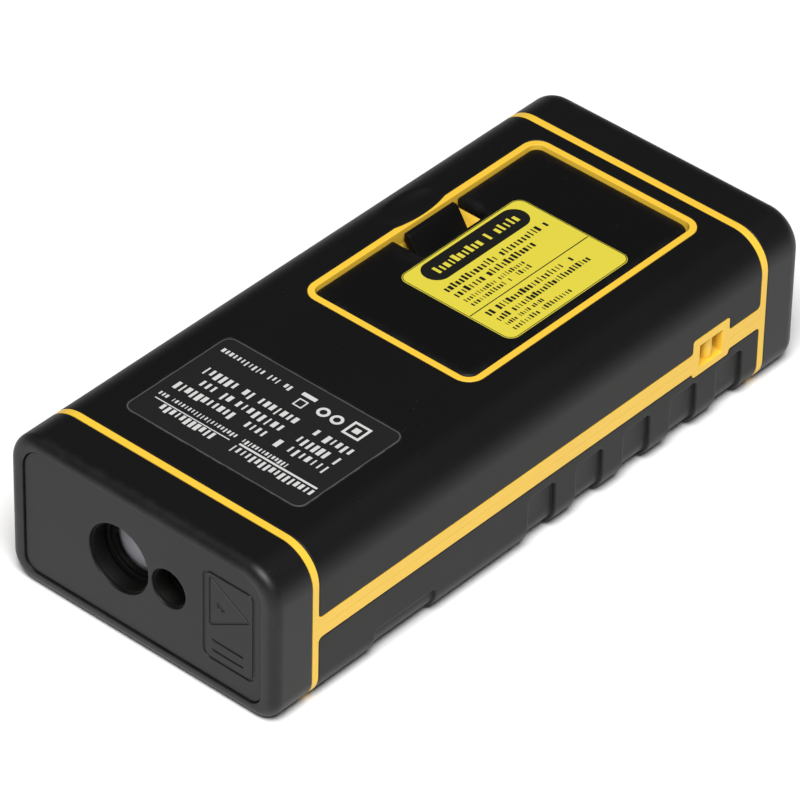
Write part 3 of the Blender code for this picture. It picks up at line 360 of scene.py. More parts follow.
def polygon(corners, arc_steps=6, edge_step=0.0):
    """A shape of (u, v, radius) corners, counter-clockwise; an inset gives its points."""
    base = [Vector(corner[:2]) for corner in corners]
    count = len(base)
    spans = [base[(i + 1) % count] - base[i] for i in range(count)]
    heads = [span.normalized() for span in spans]
    cuts = []
    for span, head in zip(spans, heads):
        step = edge_step if abs(head.x) > 0.5 else edge_step * 6.0
        cuts.append(max(1, math.ceil(span.length / step)) if step else 1)

    def at(inset):
        arcs = []
        for i in range(count):
            before, after = heads[i - 1], heads[i]
            left = Vector((-before.y, before.x))
            bisector = left + Vector((-after.y, after.x))
            corner = base[i] + bisector * (inset / (bisector.length_squared / 2))
            radius = corners[i][2]
            if radius <= 0.0:
                arcs.append([corner])
                continue
            side = 1.0 if before.cross(after) > 0 else -1.0
            radius = max(radius - side * inset, 0.02)
            angle = before.angle(after)
            start = corner - before * (radius * math.tan(angle / 2))
            centre = start + left * (side * radius)
            arm = start - centre
            arcs.append([centre + Matrix.Rotation(side * angle * k / arc_steps, 2) @ arm
                         for k in range(arc_steps + 1)])
        points = []
        for i in range(count):
            points += arcs[i]
            start, stop = arcs[i][-1], arcs[(i + 1) % count][0]
            points += [start.lerp(stop, k / cuts[i]) for k in range(1, cuts[i])]
        return points
    return at


def rectangle(x_range, y_range, radius, arc_steps=6, edge_step=0.0):
    (x0, x1), (y0, y1) = x_range, y_range
    corners = ((x0, y0, radius), (x1, y0, radius), (x1, y1, radius), (x0, y1, radius))
    return polygon(corners, arc_steps, edge_step)


def circle(x, y, radius, sides=64):
    def at(inset):
        reach = radius - inset
        return [Vector((x + reach * math.cos(a), y + reach * math.sin(a)))
                for a in around(sides)]
    return at


def inside(points, loops):
    """Which of the points lie within the first loop and outside the others."""
    x, y = points[:, :1], points[:, 1:]
    odd = np.zeros(len(points), bool)
    for loop in loops:
        a = np.array(loop)
        b = np.roll(a, -1, axis=0)
        rise = np.where(b[:, 1] == a[:, 1], 1e-12, b[:, 1] - a[:, 1])
        crosses = (a[:, 1] > y) != (b[:, 1] > y)
        at_x = a[:, 0] + (y - a[:, 1]) * (b[:, 0] - a[:, 0]) / rise
        odd ^= (np.count_nonzero(crosses & (x < at_x), axis=1) % 2).astype(bool)
    return odd


def clearance(points, loops):
    """Distance from each point to the nearest edge of the loops."""
    best = np.full(len(points), 1e9)
    for loop in loops:
        a = np.array(loop)
        d = np.roll(a, -1, axis=0) - a
        rel = points[:, None, :] - a[None, :, :]
        share = np.clip((rel * d).sum(2) / np.maximum((d * d).sum(1), 1e-12), 0, 1)
        gap = rel - share[:, :, None] * d[None, :, :]
        best = np.minimum(best, np.sqrt((gap ** 2).sum(2)).min(1))
    return best


def lattice(u_stations, v_range, v_step):
    """Grid points at the given u stations, spaced evenly in v."""
    count = max(2, round((v_range[1] - v_range[0]) / v_step))
    v_values = np.linspace(v_range[0], v_range[1], count)
    return [(u, v) for u in u_stations for v in v_values]


# ------------------------------------------------------------------ mesh makers

def add_object(name, data):
    """An object for a mesh, lamp or camera, linked into the scene."""
    item = bpy.data.objects.new(name, data)
    bpy.context.scene.collection.objects.link(item)
    return item


def make_plain(item):
    """Replace an object's mesh by what its modifiers make of it."""
    depsgraph = bpy.context.evaluated_depsgraph_get()
    mesh = bpy.data.meshes.new_from_object(item.evaluated_get(depsgraph))
    item.modifiers.clear()
    item.data = mesh
    return mesh


def make_object(name, points, faces, wear=None):
    """An object in metres from millimetre points, closed, with its faces turned outwards."""
    mesh = bpy.data.meshes.new(name)
    mesh.from_pydata([(x * MM, y * MM, z * MM) for x, y, z in points], [], faces)
    attribute = mesh.attributes.new("edge_wear", "FLOAT", "POINT")
    attribute.data.foreach_set("value", wear or [0.0] * len(points))
    bm = bmesh.new()
    bm.from_mesh(mesh)
    bmesh.ops.recalc_face_normals(bm, faces=bm.faces)
    bm.to_mesh(mesh)
    bm.free()
    mesh.shade_smooth()
    mesh.set_sharp_from_angle(angle=math.radians(38))
    return add_object(name, mesh)


class Sheet:
    """A plate drawn flat in (u, v) and wrapped on a surface.

    Every point has a depth below the surface; the plate's underside lies at one thickness.
    """

    def __init__(self, surface, thickness, relief=None):
        self.surface = surface
        self.thickness = thickness
        self.relief = relief
        self.points = []
        self.depths = []
        self.wear = []
        self.faces = []
        self.walls = []

    def loop(self, shape, inset, depth, wear=0.0):
        first = len(self.points)
        for point in shape(inset):
            self.points.append((round(point.x, 4), round(point.y, 4)))
            self.depths.append(depth)
            self.wear.append(wear)
        return list(range(first, len(self.points)))

    def band(self, shape, stations):
        """Rings of faces through (inset, depth, wear) stations; gives the end loops."""
        loops = [self.loop(shape, *station) for station in stations]
        for outer, inner in zip(loops, loops[1:]):
            count = len(outer)
            for i in range(count):
                j = (i + 1) % count
                self.faces.append((outer[i], outer[j], inner[j], inner[i]))
        return loops[0], loops[-1]

    def rim(self, shape, radius, hole=False, support=0.2, steps=4):
        """A rounded edge that meets the open air; gives the loop on the flat side of it."""
        sign = -1.0 if hole else 1.0
        stations = [(sign * radius * a, radius * b, 1.0) for a, b in quarter(steps)]
        stations.append((sign * (radius + support), 0.0, 0.0))
        first, last = self.band(shape, stations)
        self.walls.append(first)
        return last

    def recess(self, shape, depth, top_r, floor_r, taper=0.0, support=0.15, steps=3):
        """A sunk area: gives the loop round its mouth and the loop round its floor."""
        bend = quarter(steps)
        stations = [(-(top_r + support), 0.0, 0.0)]
        stations += [(-top_r * a, top_r * b, 1.0) for a, b in reversed(bend)]
        stations += [(taper + floor_r * a, depth - floor_r * b, 0.0) for a, b in bend]
        return self.band(shape, stations)

    def fill(self, outer, holes=(), grid=(), depth=0.0, keep_off=0.12):
        """Faces between an outer loop and its holes, through the grid points inside."""
        rings = (outer, *holes)
        ids = [i for ring in rings for i in ring]
        loops = [[self.points[i] for i in ring] for ring in rings]
        edges = []
        start = 0
        for ring in rings:
            edges += [(start + k, start + (k + 1) % len(ring)) for k in range(len(ring))]
            start += len(ring)
        spots = np.array(grid, float).reshape(-1, 2)
        if len(spots):
            spots = spots[inside(spots, loops)]
            spots = spots[clearance(spots, loops) > keep_off]
        flat = [Vector(self.points[i]) for i in ids] + [Vector(spot) for spot in spots]
        verts, _, faces, origins, _, _ = delaunay_2d_cdt(flat, edges, [], 0, 1e-7)
        index = []
        for vert, origin in zip(verts, origins):
            if origin and origin[0] < len(ids):
                index.append(ids[origin[0]])
                continue
            index.append(len(self.points))
            self.points.append((vert.x, vert.y))
            self.depths.append(depth)
            self.wear.append(0.0)
        places = np.array([verts[f[0]] + verts[f[1]] + verts[f[2]] for f in faces]) / 3.0
        for face, within in zip(faces, inside(places, loops)):
            if within:
                self.faces.append(tuple(index[k] for k in face))

    def build(self, name):
        count = len(self.points)
        top = []
        bottom = []
        for (u, v), depth in zip(self.points, self.depths):
            sunk = self.relief(u, v) if self.relief else 0.0
            top.append(self.surface(u, v, depth + sunk))
            bottom.append(self.surface(u, v, self.thickness))
        faces = list(self.faces)
        faces += [tuple(i + count for i in reversed(face)) for face in self.faces]
        for wall in self.walls:
            for i, here in enumerate(wall):
                after = wall[(i + 1) % len(wall)]
                faces.append((here, after, after + count, here + count))
        return make_object(name, top + bottom, faces, self.wear + [0.0] * count)


def plate(name, surface, shape, thickness, edge, holes=(), grid=()):
    """A plain plate with rounded outer edges and rounded holes."""
    sheet = Sheet(surface, thickness)
    outer = sheet.rim(shape, edge)
    rings = [sheet.rim(hole, edge, hole=True) for hole in holes]
    sheet.fill(outer, rings, grid)
    return sheet.build(name)


def loft(name, loops, wear, closed=False):
    """Faces through loops of equal count; open ends are capped unless it closes on itself."""
    count = len(loops[0])
    points = [point for loop in loops for point in loop]
    flags = [value for value in wear for _ in range(count)]
    faces = []
    pairs = list(zip(range(len(loops)), range(1, len(loops))))
    if closed:
        pairs.append((len(loops) - 1, 0))
    for a, b in pairs:
        for i in range(count):
            j = (i + 1) % count
            faces.append((a * count + i, a * count + j, b * count + j, b * count + i))
    if not closed:
        faces.append(tuple(range(count)))
        faces.append(tuple(range(len(points) - count, len(points))))
    return make_object(name, points, faces, flags)


def turned(name, x, z, profile, sides=64, closed=False):
    """A solid of revolution about a line along Y at (x, z), through (radius, y) points."""
    loops = [[(x + radius * math.cos(a), y, z + radius * math.sin(a)) for a in around(sides)]
             for radius, y in profile]
    return loft(name, loops, [0.0] * len(loops), closed)


def rounded_bar(name, shape, axis_points, edge, place, steps=3):
    """A bar pushed between two stations with rounded ends; place maps (u, v, w) to a point."""
    low, high = axis_points
    stations = [(edge * b, low + edge * a) for a, b in quarter(steps)]
    stations += [(inset, high + low - w) for inset, w in reversed(stations)]
    loops = [[place(p.x, p.y, w) for p in shape(inset)] for inset, w in stations]
    worn = [0.0] + [1.0] * (steps - 1) + [0.0]
    return loft(name, loops, worn + worn)


def dress(item, finish):
    """Give a piece its finish before it's joined to others, and hand it back."""
    item.data.materials.append(finish_of(finish))
    return item


def join_into(target, *others):
    """Put the others' meshes into the target's, keeping their materials."""
    bm = bmesh.new()
    bm.from_mesh(target.data)
    for other in others:
        shift = len(target.data.materials)
        for material in other.data.materials:
            target.data.materials.append(material)
        first = len(bm.faces)
        bm.from_mesh(other.data)
        bm.faces.ensure_lookup_table()
        for face in bm.faces[first:]:
            face.material_index += shift
        bpy.data.objects.remove(other, do_unlink=True)
    bm.to_mesh(target.data)
    bm.free()
    return target


def settle(item, body, material, stands_for=()):
    """Give a piece its finish, tie it to its body and hide the CAD nodes it stands for."""
    if material is not None:
        item.data.materials.clear()
        item.data.materials.append(material)
    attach(item, body)
    if stands_for:
        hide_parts(*stands_for)
    return item


# ------------------------------------------------------------------ shader groups

class Nodes:
    """A short way to add and wire nodes in one tree."""

    def __init__(self, tree):
        self.tree = tree

    def add(self, kind, inputs=None, **settings):
        node = self.tree.nodes.new(kind)
        for key, value in settings.items():
            setattr(node, key, value)
        return self.feed(node, inputs or {})

    def feed(self, node, inputs):
        """Link the sockets among the inputs and set the plain values."""
        for key, value in inputs.items():
            if isinstance(value, bpy.types.NodeSocket):
                self.tree.links.new(value, node.inputs[key])
            else:
                node.inputs[key].default_value = value
        return node

    def math(self, operation, first, second=0.0, clamp=False):
        node = self.add("ShaderNodeMath", {0: first, 1: second}, operation=operation,
                        use_clamp=clamp)
        return node.outputs[0]

    def band(self, value, low, high, out_low=0.0, out_high=1.0):
        """value from low..high stretched onto out_low..out_high."""
        node = self.add("ShaderNodeMapRange", {
            "Value": value, "From Min": low, "From Max": high,
            "To Min": out_low, "To Max": out_high})
        return node.outputs["Result"]

    def mix(self, factor, first, second):
        node = self.add("ShaderNodeMix", {"Factor": factor, 6: first, 7: second},
                        data_type="RGBA")
        return node.outputs[2]

    def noise(self, vector, scale, detail=2.0, roughness=0.5):
        node = self.add("ShaderNodeTexNoise", {
            "Vector": vector, "Scale": scale, "Detail": detail, "Roughness": roughness})
        return node.outputs["Fac"]


def new_group(name, inputs, outputs):
    """An empty shader group with float inputs (name, default) and named float outputs."""
    tree = bpy.data.node_groups.new(name, "ShaderNodeTree")
    place = tree.interface.new_socket("Vector", in_out="INPUT", socket_type="NodeSocketVector")
    place.hide_value = True
    for label, default in inputs:
        socket = tree.interface.new_socket(label, in_out="INPUT",
                                           socket_type="NodeSocketFloat")
        socket.default_value = default
    for label in outputs:
        tree.interface.new_socket(label, in_out="OUTPUT", socket_type="NodeSocketFloat")
    nodes = Nodes(tree)
    return nodes, nodes.add("NodeGroupInput").outputs, nodes.add("NodeGroupOutput")


def grain_group():
    """Moulded grain: fine pits with a little broad waviness, as a height."""
    nodes, given, out = new_group(
        "moulded_grain", (("Scale", 3000.0), ("Waviness", 0.3)), ("Height",))
    pits = nodes.noise(given["Vector"], given["Scale"], 3.0, 0.6)
    cells = nodes.add("ShaderNodeTexVoronoi", {
        "Vector": given["Vector"], "Scale": given["Scale"]}, feature="SMOOTH_F1")
    waves = nodes.noise(given["Vector"], 120.0, 1.0)
    fine = nodes.math("ADD", pits, nodes.math("MULTIPLY", cells.outputs["Distance"], 0.6))
    total = nodes.math("ADD", fine, nodes.math("MULTIPLY", waves, given["Waviness"]))
    nodes.feed(out, {"Height": total})
    return nodes.tree


def dust_group():
    """Dust specks and lint, and short faint scuffs, as two masks."""
    nodes, given, out = new_group(
        "dust_and_scuffs", (("Dust", 0.5), ("Scuffs", 0.5)), ("Specks", "Scratches"))
    cells = nodes.add("ShaderNodeTexVoronoi", {
        "Vector": given["Vector"], "Scale": 1300.0, "Randomness": 1.0})
    dots = nodes.band(cells.outputs["Distance"], 0.06, 0.11, 1.0, 0.0)
    patches = nodes.noise(given["Vector"], 160.0, 2.0)
    chosen = nodes.band(patches, 0.56, 0.66)
    specks = nodes.math("MULTIPLY", nodes.math("MULTIPLY", dots, chosen), given["Dust"])
    turned_place = nodes.add("ShaderNodeMapping", {
        "Vector": given["Vector"], "Rotation": (0.2, 0.3, 0.9), "Scale": (1.0, 9.0, 1.0)})
    streaks = nodes.noise(turned_place.outputs[0], 260.0, 4.0, 0.7)
    lines = nodes.band(streaks, 0.66, 0.72)
    area = nodes.band(nodes.noise(given["Vector"], 60.0, 1.0), 0.5, 0.62)
    scratches = nodes.math("MULTIPLY", nodes.math("MULTIPLY", lines, area), given["Scuffs"])
    nodes.feed(out, {"Specks": specks, "Scratches": scratches})
    return nodes.tree


def handling_group():
    """Broad cloudy change in gloss, as left by handling."""
    nodes, given, out = new_group(
        "handling_film", (("Roughness", 0.5), ("Amount", 0.06)), ("Roughness",))
    clouds = nodes.noise(given["Vector"], 45.0, 4.0, 0.6)
    centred = nodes.math("SUBTRACT", clouds, 0.5)
    swing = nodes.math("MULTIPLY", nodes.math("MULTIPLY", centred, 2.0), given["Amount"])
    nodes.feed(out, {"Roughness": nodes.math("ADD", swing, given["Roughness"], clamp=True)})
    return nodes.tree


def edge_group():
    """Worn edges: the piece's own edge mark broken up by noise."""
    nodes, given, out = new_group(
        "edge_wear_mask", (("Edge", 0.0), ("Amount", 0.5)), ("Worn",))
    patches = nodes.band(nodes.noise(given["Vector"], 350.0, 3.0, 0.7), 0.42, 0.62)
    worn = nodes.math("MULTIPLY", nodes.math("MULTIPLY", given["Edge"], patches),
                      given["Amount"])
    nodes.feed(out, {"Worn": worn})
    return nodes.tree


GROUPS = {}


def shared(name):
    """One of the four groups, made when it is first asked for."""
    makers = {"grain": grain_group, "dust": dust_group, "film": handling_group,
              "edge": edge_group}
    if name not in GROUPS:
        GROUPS[name] = makers[name]()
    return GROUPS[name]


def start_material(name):
    material = bpy.data.materials.new(name)
    material.use_nodes = True
    nodes = Nodes(material.node_tree)
    shader = material.node_tree.nodes["Principled BSDF"]
    place = nodes.add("ShaderNodeTexCoord").outputs["Object"]
    return material, nodes, shader, place


def use_group(nodes, name, inputs):
    return nodes.add("ShaderNodeGroup", inputs, node_tree=shared(name))


def relief_of(nodes, height, distance, strength=1.0):
    return nodes.add("ShaderNodeBump", {
        "Height": height, "Distance": distance, "Strength": strength}).outputs[0]


def shade(name, colour, roughness, grain=3000.0, relief=0.00001, film=0.06, dust=0.3,
          scuffs=0.3, edge=0.3, lift=2.2, specular=0.5, tint=0.04, coat=0.0):
    """A moulded, printed or plated finish with grain, cloudy gloss, dust, scuffs and wear."""
    material, nodes, shader, place = start_material(name)
    base = (*colour, 1.0)
    worn_colour = (*[min(1.0, c * lift + 0.01) for c in colour], 1.0)
    dark = (*[c * (1.0 - tint) for c in colour], 1.0)
    clouds = nodes.band(nodes.noise(place, 75.0, 3.0), 0.35, 0.65)
    mixed = nodes.mix(clouds, base, dark)
    marks = use_group(nodes, "dust", {"Vector": place, "Dust": dust, "Scuffs": scuffs})
    mark = nodes.add("ShaderNodeAttribute", attribute_name="edge_wear").outputs["Fac"]
    worn = use_group(nodes, "edge", {"Vector": place, "Edge": mark, "Amount": edge})
    mixed = nodes.mix(worn.outputs[0], mixed, worn_colour)
    mixed = nodes.mix(marks.outputs["Specks"], mixed, (0.10, 0.10, 0.095, 1.0))
    mixed = nodes.mix(nodes.math("MULTIPLY", marks.outputs["Scratches"], 0.25), mixed,
                      worn_colour)
    film_node = use_group(nodes, "film",
                          {"Vector": place, "Roughness": roughness, "Amount": film})
    rough = nodes.math("ADD", film_node.outputs[0],
                       nodes.math("MULTIPLY", marks.outputs["Scratches"], 0.12), clamp=True)
    grains = use_group(nodes, "grain", {"Vector": place, "Scale": grain})
    nodes.feed(shader, {
        "Base Color": mixed, "Roughness": rough, "Specular IOR Level": specular,
        "Coat Weight": coat, "Normal": relief_of(nodes, grains.outputs[0], relief)})
    return material


def brushed(name, colour, roughness, axis):
    """Bare or plated metal with fine tool lines across one axis."""
    material, nodes, shader, place = start_material(name)
    stretch = [40.0, 40.0, 40.0]
    stretch[axis] = 2600.0
    lines = nodes.noise(nodes.add("ShaderNodeMapping", {
        "Vector": place, "Scale": stretch}).outputs[0], 1.0, 3.0, 0.6)
    stains = nodes.band(nodes.noise(place, 300.0, 3.0), 0.35, 0.7)
    dull = (*[c * 0.78 for c in colour], 1.0)
    nodes.feed(shader, {
        "Base Color": nodes.mix(stains, (*colour, 1.0), dull), "Metallic": 1.0,
        "Roughness": nodes.band(lines, 0.3, 0.7, roughness, roughness + 0.18),
        "Normal": relief_of(nodes, lines, 0.000004, 0.6)})
    return material


def clear(name, colour, roughness, ior=1.49):
    """Clear glass or acrylic with a faint film of dust."""
    material, nodes, shader, place = start_material(name)
    smears = nodes.band(nodes.noise(place, 90.0, 4.0), 0.45, 0.75, roughness, roughness + 0.1)
    nodes.feed(shader, {"Roughness": smears, "Base Color": (*colour, 1.0),
                        "Transmission Weight": 1.0, "IOR": ior})
    return material


def striped(name, first, second, axis, edges, roughness, metallic):
    """Two finishes parted at planes along one axis: second lies between the edges."""
    material, nodes, shader, place = start_material(name)
    along = nodes.add("ShaderNodeSeparateXYZ", {"Vector": place}).outputs[axis]
    above = nodes.math("GREATER_THAN", along, edges[0])
    below = nodes.math("LESS_THAN", along, edges[1])
    within = nodes.math("MULTIPLY", above, below)
    clouds = nodes.noise(place, 90.0, 3.0)
    shadowed = nodes.mix(clouds, (*second, 1.0), (*[c * 0.85 for c in second], 1.0))
    nodes.feed(shader, {
        "Base Color": nodes.mix(within, (*first, 1.0), shadowed), "Metallic": metallic,
        "Roughness": nodes.band(clouds, 0.3, 0.7, roughness, roughness + 0.08)})
    return material


def layered(name, first, second, axis, pitch, roughness):
    """Thin alternate layers along one axis."""
    material, nodes, shader, place = start_material(name)
    along = nodes.add("ShaderNodeSeparateXYZ", {"Vector": place}).outputs[axis]
    phase = nodes.math("FRACT", nodes.math("DIVIDE", along, pitch))
    layer = nodes.math("GREATER_THAN", phase, 0.5)
    gloss = nodes.band(nodes.noise(place, 500.0), 0.3, 0.7, roughness, roughness + 0.1)
    nodes.feed(shader, {"Base Color": nodes.mix(layer, (*first, 1.0), (*second, 1.0)),
                        "Roughness": gloss})
    return material


def board_finish(name, mask_colour):
    """Solder mask over copper tracks: straight runs with pads in between."""
    material, nodes, shader, place = start_material(name)
    tracks = nodes.add("ShaderNodeTexBrick", {
        "Vector": place, "Scale": 260.0, "Mortar Size": 0.012, "Mortar Smooth": 0.1,
        "Brick Width": 0.9, "Row Height": 0.22,
        "Color1": (*mask_colour, 1.0), "Color2": (*[c * 0.9 for c in mask_colour], 1.0),
        "Mortar": (*[c * 2.0 + 0.01 for c in mask_colour], 1.0)})
    holes = nodes.add("ShaderNodeTexVoronoi", {"Vector": place, "Scale": 420.0})
    pad = nodes.band(holes.outputs["Distance"], 0.10, 0.13, 1.0, 0.0)
    chosen = nodes.band(nodes.noise(place, 130.0), 0.55, 0.57)
    pads = nodes.math("MULTIPLY", pad, chosen)
    nodes.feed(shader, {
        "Base Color": nodes.mix(pads, tracks.outputs["Color"], (0.75, 0.62, 0.35, 1.0)),
        "Metallic": pads,
        "Roughness": nodes.band(nodes.noise(place, 150.0), 0.3, 0.7, 0.25, 0.4)})
    return material


def make_finishes():
    """Every finish of the meter, by a maker's name."""
    c = bpy.context.scene.meter_colours
    grey = (0.006, 0.006, 0.0062)
    return {
        "case": shade("yellow_case", c.yellow, 0.42, 2600.0, 0.000008, 0.07, 0.10, 0.15,
                      0.10, 1.05, tint=0.03),
        "skin": shade("rubber_skin", c.rubber, 0.50, 3400.0, 0.000014, 0.04, 0.45, 0.35,
                      0.35, 2.4, specular=0.29),
        "bumper": shade("bumper_rubber", c.rubber, 0.47, 3000.0, 0.000010, 0.04, 0.45, 0.45,
                        0.35, 2.6, specular=0.38),
        "panel": shade("panel_black", c.panel, 0.44, 4200.0, 0.000006, 0.04, 0.30, 0.35,
                       0.45, 3.2, specular=0.34),
        "door": shade("door_black", c.panel, 0.52, 4200.0, 0.000008, 0.02, 0.35, 0.35,
                      0.50, 3.0, specular=0.16),
        "film": shade("dark_label_film", (0.0125, 0.0125, 0.013), 0.40, 5200.0, 0.000003,
                      0.05, 0.25, 0.25, 0.9, 7.0),
        "ink": shade("white_ink", c.ink, 0.55, 5000.0, 0.000002, 0.05, 0.0, 0.1, 0.0),
        # The grey line round the dark label is a painted highlight on the label's edge.
        "painted_edge_highlight": shade("label_edge_painted_highlight", (0.09, 0.09, 0.09), 0.4, 5000.0, 0.000002, 0.05,
                           0.0, 0.0, 0.0),
        "caution": shade("caution_film", c.caution, 0.38, 5200.0, 0.000003, 0.06, 0.10, 0.15,
                         0.2, 1.05, tint=0.02),
        "black_ink": shade("black_ink", (0.005, 0.005, 0.004), 0.5, 5000.0, 0.000002, 0.05,
                           0.05, 0.0, 0.0),
        "key": shade("key_silicone", (0.055, 0.055, 0.058), 0.62, 2600.0, 0.000012, 0.05,
                     0.3, 0.2, 0.3, 1.8),
        "bench": shade("bench_black", grey, 0.5, 2400.0, 0.000012, dust=0.2),
        # The bore finish is darker than the panel black: painted shade deep inside the
        # apertures.
        "bore": shade("bore_black", (0.0022, 0.0020, 0.0017), 0.65, 2400.0, 0.000006,
                      dust=0.1, edge=0.0, specular=0.16),
        "chip": shade("moulded_epoxy", (0.022, 0.022, 0.024), 0.55, 3600.0, 0.000008),
        "ferrite": shade("ferrite_core", (0.035, 0.034, 0.033), 0.7, 1800.0, 0.00003),
        "key_red": shade("key_red_mark", (0.55, 0.03, 0.02), 0.5, 2600.0, 0.000006),
        "lamp": shade("milky_guide", (0.82, 0.83, 0.80), 0.4, 2600.0, 0.000004, tint=0.02),
        # The lens's light grey base colour is partly its coating's own tint and partly a painted
        # reflection that brightens its shaded disc.
        "lens": shade("coated_lens_painted_reflection", (0.52, 0.52, 0.56), 0.12, 500.0, 0.0, 0.03, 0.15, 0.2,
                      0.0, specular=0.9, coat=0.6),
        "collimator": clear("collimator_glass", (0.95, 0.80, 0.80), 0.02, 1.52),
        "window": clear("window_acrylic", (0.93, 0.94, 0.95), 0.02),
        "window_ink": shade("window_border_ink", (0.012, 0.012, 0.013), 0.35, 4000.0,
                            0.000002),
        "lcd": shade("display_glass", (0.30, 0.34, 0.28), 0.16, 4000.0, 0.000001, 0.04, 0.05,
                     0.1, 0.0),
        "steel": brushed("nickel_plate", (0.66, 0.65, 0.62), 0.22, 0),
        "screw": brushed("zinc_plate", (0.60, 0.61, 0.63), 0.30, 2),
        "brass": brushed("turned_brass", (0.74, 0.55, 0.24), 0.24, 1),
        "gold": brushed("gold_can", (0.85, 0.64, 0.30), 0.20, 1),
        "board": board_finish("solder_mask", (0.015, 0.12, 0.045)),
        "zebra": layered("contact_strip", (0.72, 0.34, 0.42), (0.03, 0.03, 0.03), 0,
                         0.00018, 0.6),
        "cell_a": striped("cell_wrap_a", (0.035, 0.035, 0.04), (0.62, 0.30, 0.05), "Y",
                          (0.012, 1.0), 0.24, 0.5),
        "cell_b": striped("cell_wrap_b", (0.035, 0.035, 0.04), (0.62, 0.30, 0.05), "Y",
                          (-1.0, 0.030), 0.24, 0.5),
    }


FINISH = {}


def finish_of(name):
    if not FINISH:
        FINISH.update(make_finishes())
    return FINISH[name]


# ------------------------------------------------------------------ case and skins

ARC_STATIONS = tuple(FLAT_S - 0.4 + k * (BACK_ARC + 0.8) / 22 for k in range(23))
FRONT_START = FLAT_S + BACK_ARC + SIDE_WALL
FRONT_STATIONS = tuple(FRONT_START - 0.3 + k * (FRONT_ARC + 0.6) / 18 for k in range(19))
RING_OUT = (NOSE_RING_Y - RING_HALF, TAIL_RING_Y + RING_HALF)
RING_IN = (NOSE_RING_Y + RING_HALF, TAIL_RING_Y - RING_HALF)
TRIM_DEEP = 1.36
SKIN_DEEP = 1.2
WRAP_STEP = 0.55
FLAT_MARGIN = 0.2

# Grips: how far they and their pockets stop from the display side's middle, and the pockets
GRIP_REACH = 20.2
POCKET_REACH = 22.6
POCKET_HALF = 3.05
POCKET_TOP_Z = 9.8
POCKET_MIDDLES = tuple(-1.05 + 11.12 * k for k in range(5))
LONG_POCKET = ((-38.7, -25.3), 5.4, 0.5)


def wrap_grid(stations, y_range, step=3.0):
    """Grid points on the rounded corners of both sides."""
    both = [s for s in stations] + [-s for s in stations]
    return lattice(both, y_range, step)


def scoop_arc(shrink, count=13):
    """Corners along the arc that the finger scoop takes out of the frame's left line."""
    radius = BITE_R - shrink
    centre_x = BITE_X - BITE_R
    reach = math.acos((-FRAME_X - shrink - centre_x) / radius)
    turns = [reach - 2 * reach * k / (count - 1) for k in range(count)]
    return [(centre_x + radius * math.cos(a), SCOOP_Y + radius * math.sin(a), 0.0)
            for a in turns]


def frame_outline(grow, arc_steps=8, edge_step=0.0):
    """The door frame's outer edge, grown by a seam, with the scoop's arc in its left side."""
    x = FRAME_X + grow
    y0, y1 = FRAME_Y[0] - grow, FRAME_Y[1] + grow
    r = FRAME_R + grow
    corners = [(-x, y0, r), (x, y0, r), (x, y1, r), (-x, y1, r), *scoop_arc(grow)]
    return polygon(corners, arc_steps, edge_step)


def lanyard_notch(edge_s, far_s, grow, radius):
    """Corner points that take a hole's right edge round the lanyard block."""
    y0, y1 = LANYARD_Y[0] - grow, LANYARD_Y[1] + grow
    return [(edge_s, y0, radius), (far_s, y0, radius), (far_s, y1, radius),
            (edge_s, y1, radius)]


def back_region(grow):
    """The back skin's outline; grow is how far it is pushed outwards."""
    s = s_at(STRIP_Z[1]) + grow
    y0, y1 = RING_IN[0] - grow, RING_IN[1] + grow
    notch = lanyard_notch(s, s_at(LANYARD_Z[1]) + grow, -grow, 0.5)
    corners = [(-s, y0, JUNCTION_R), (s, y0, JUNCTION_R), *notch, (s, y1, JUNCTION_R),
               (-s, y1, JUNCTION_R)]
    return polygon(corners, 5, WRAP_STEP)


def front_region(grow):
    """The display side's opening between the strips, in stations from its middle."""
    t = GIRTH - s_at(STRIP_Z[0]) + grow
    y0, y1 = RING_IN[0] - grow, RING_IN[1] + grow
    notch = lanyard_notch(t, GIRTH - s_at(LANYARD_Z[0]) + grow, -grow, 0.5)
    corners = [(-t, y0, JUNCTION_R), (t, y0, JUNCTION_R), *notch, (t, y1, JUNCTION_R),
               (-t, y1, JUNCTION_R)]
    return polygon(corners, 5, WRAP_STEP)


def shell_outline(half, pocket):
    """A shell's outer line between the rings' far edges, with the lanyard pocket's mouth."""
    y0, y1 = RING_OUT
    corners = [(-half, y0, 0.0), (half, y0, 0.0), (half, POCKET_Y[0], 0.0),
               (pocket, POCKET_Y[0], 0.25), (pocket, POCKET_Y[1], 0.25),
               (half, POCKET_Y[1], 0.0), (half, y1, 0.0), (-half, y1, 0.0)]
    return polygon(corners, 4, WRAP_STEP)


def build_trim(name, surface, outline, region, stations):
    """One shell's yellow lines: rings and strips as one piece round its skin's opening."""
    edge = mm(sizes().line_edge)
    sheet = Sheet(surface, TRIM_DEEP)
    outer = sheet.rim(outline, edge / 3, support=0.1, steps=2)
    hole = sheet.rim(region, edge, hole=True, support=0.1, steps=3)
    grid = []
    for y in (NOSE_RING_Y, TAIL_RING_Y):
        grid += wrap_grid(stations, (y - 0.28, y + 0.28), 0.56)
    sheet.fill(outer, [hole], grid, keep_off=0.1)
    return sheet.build(name)


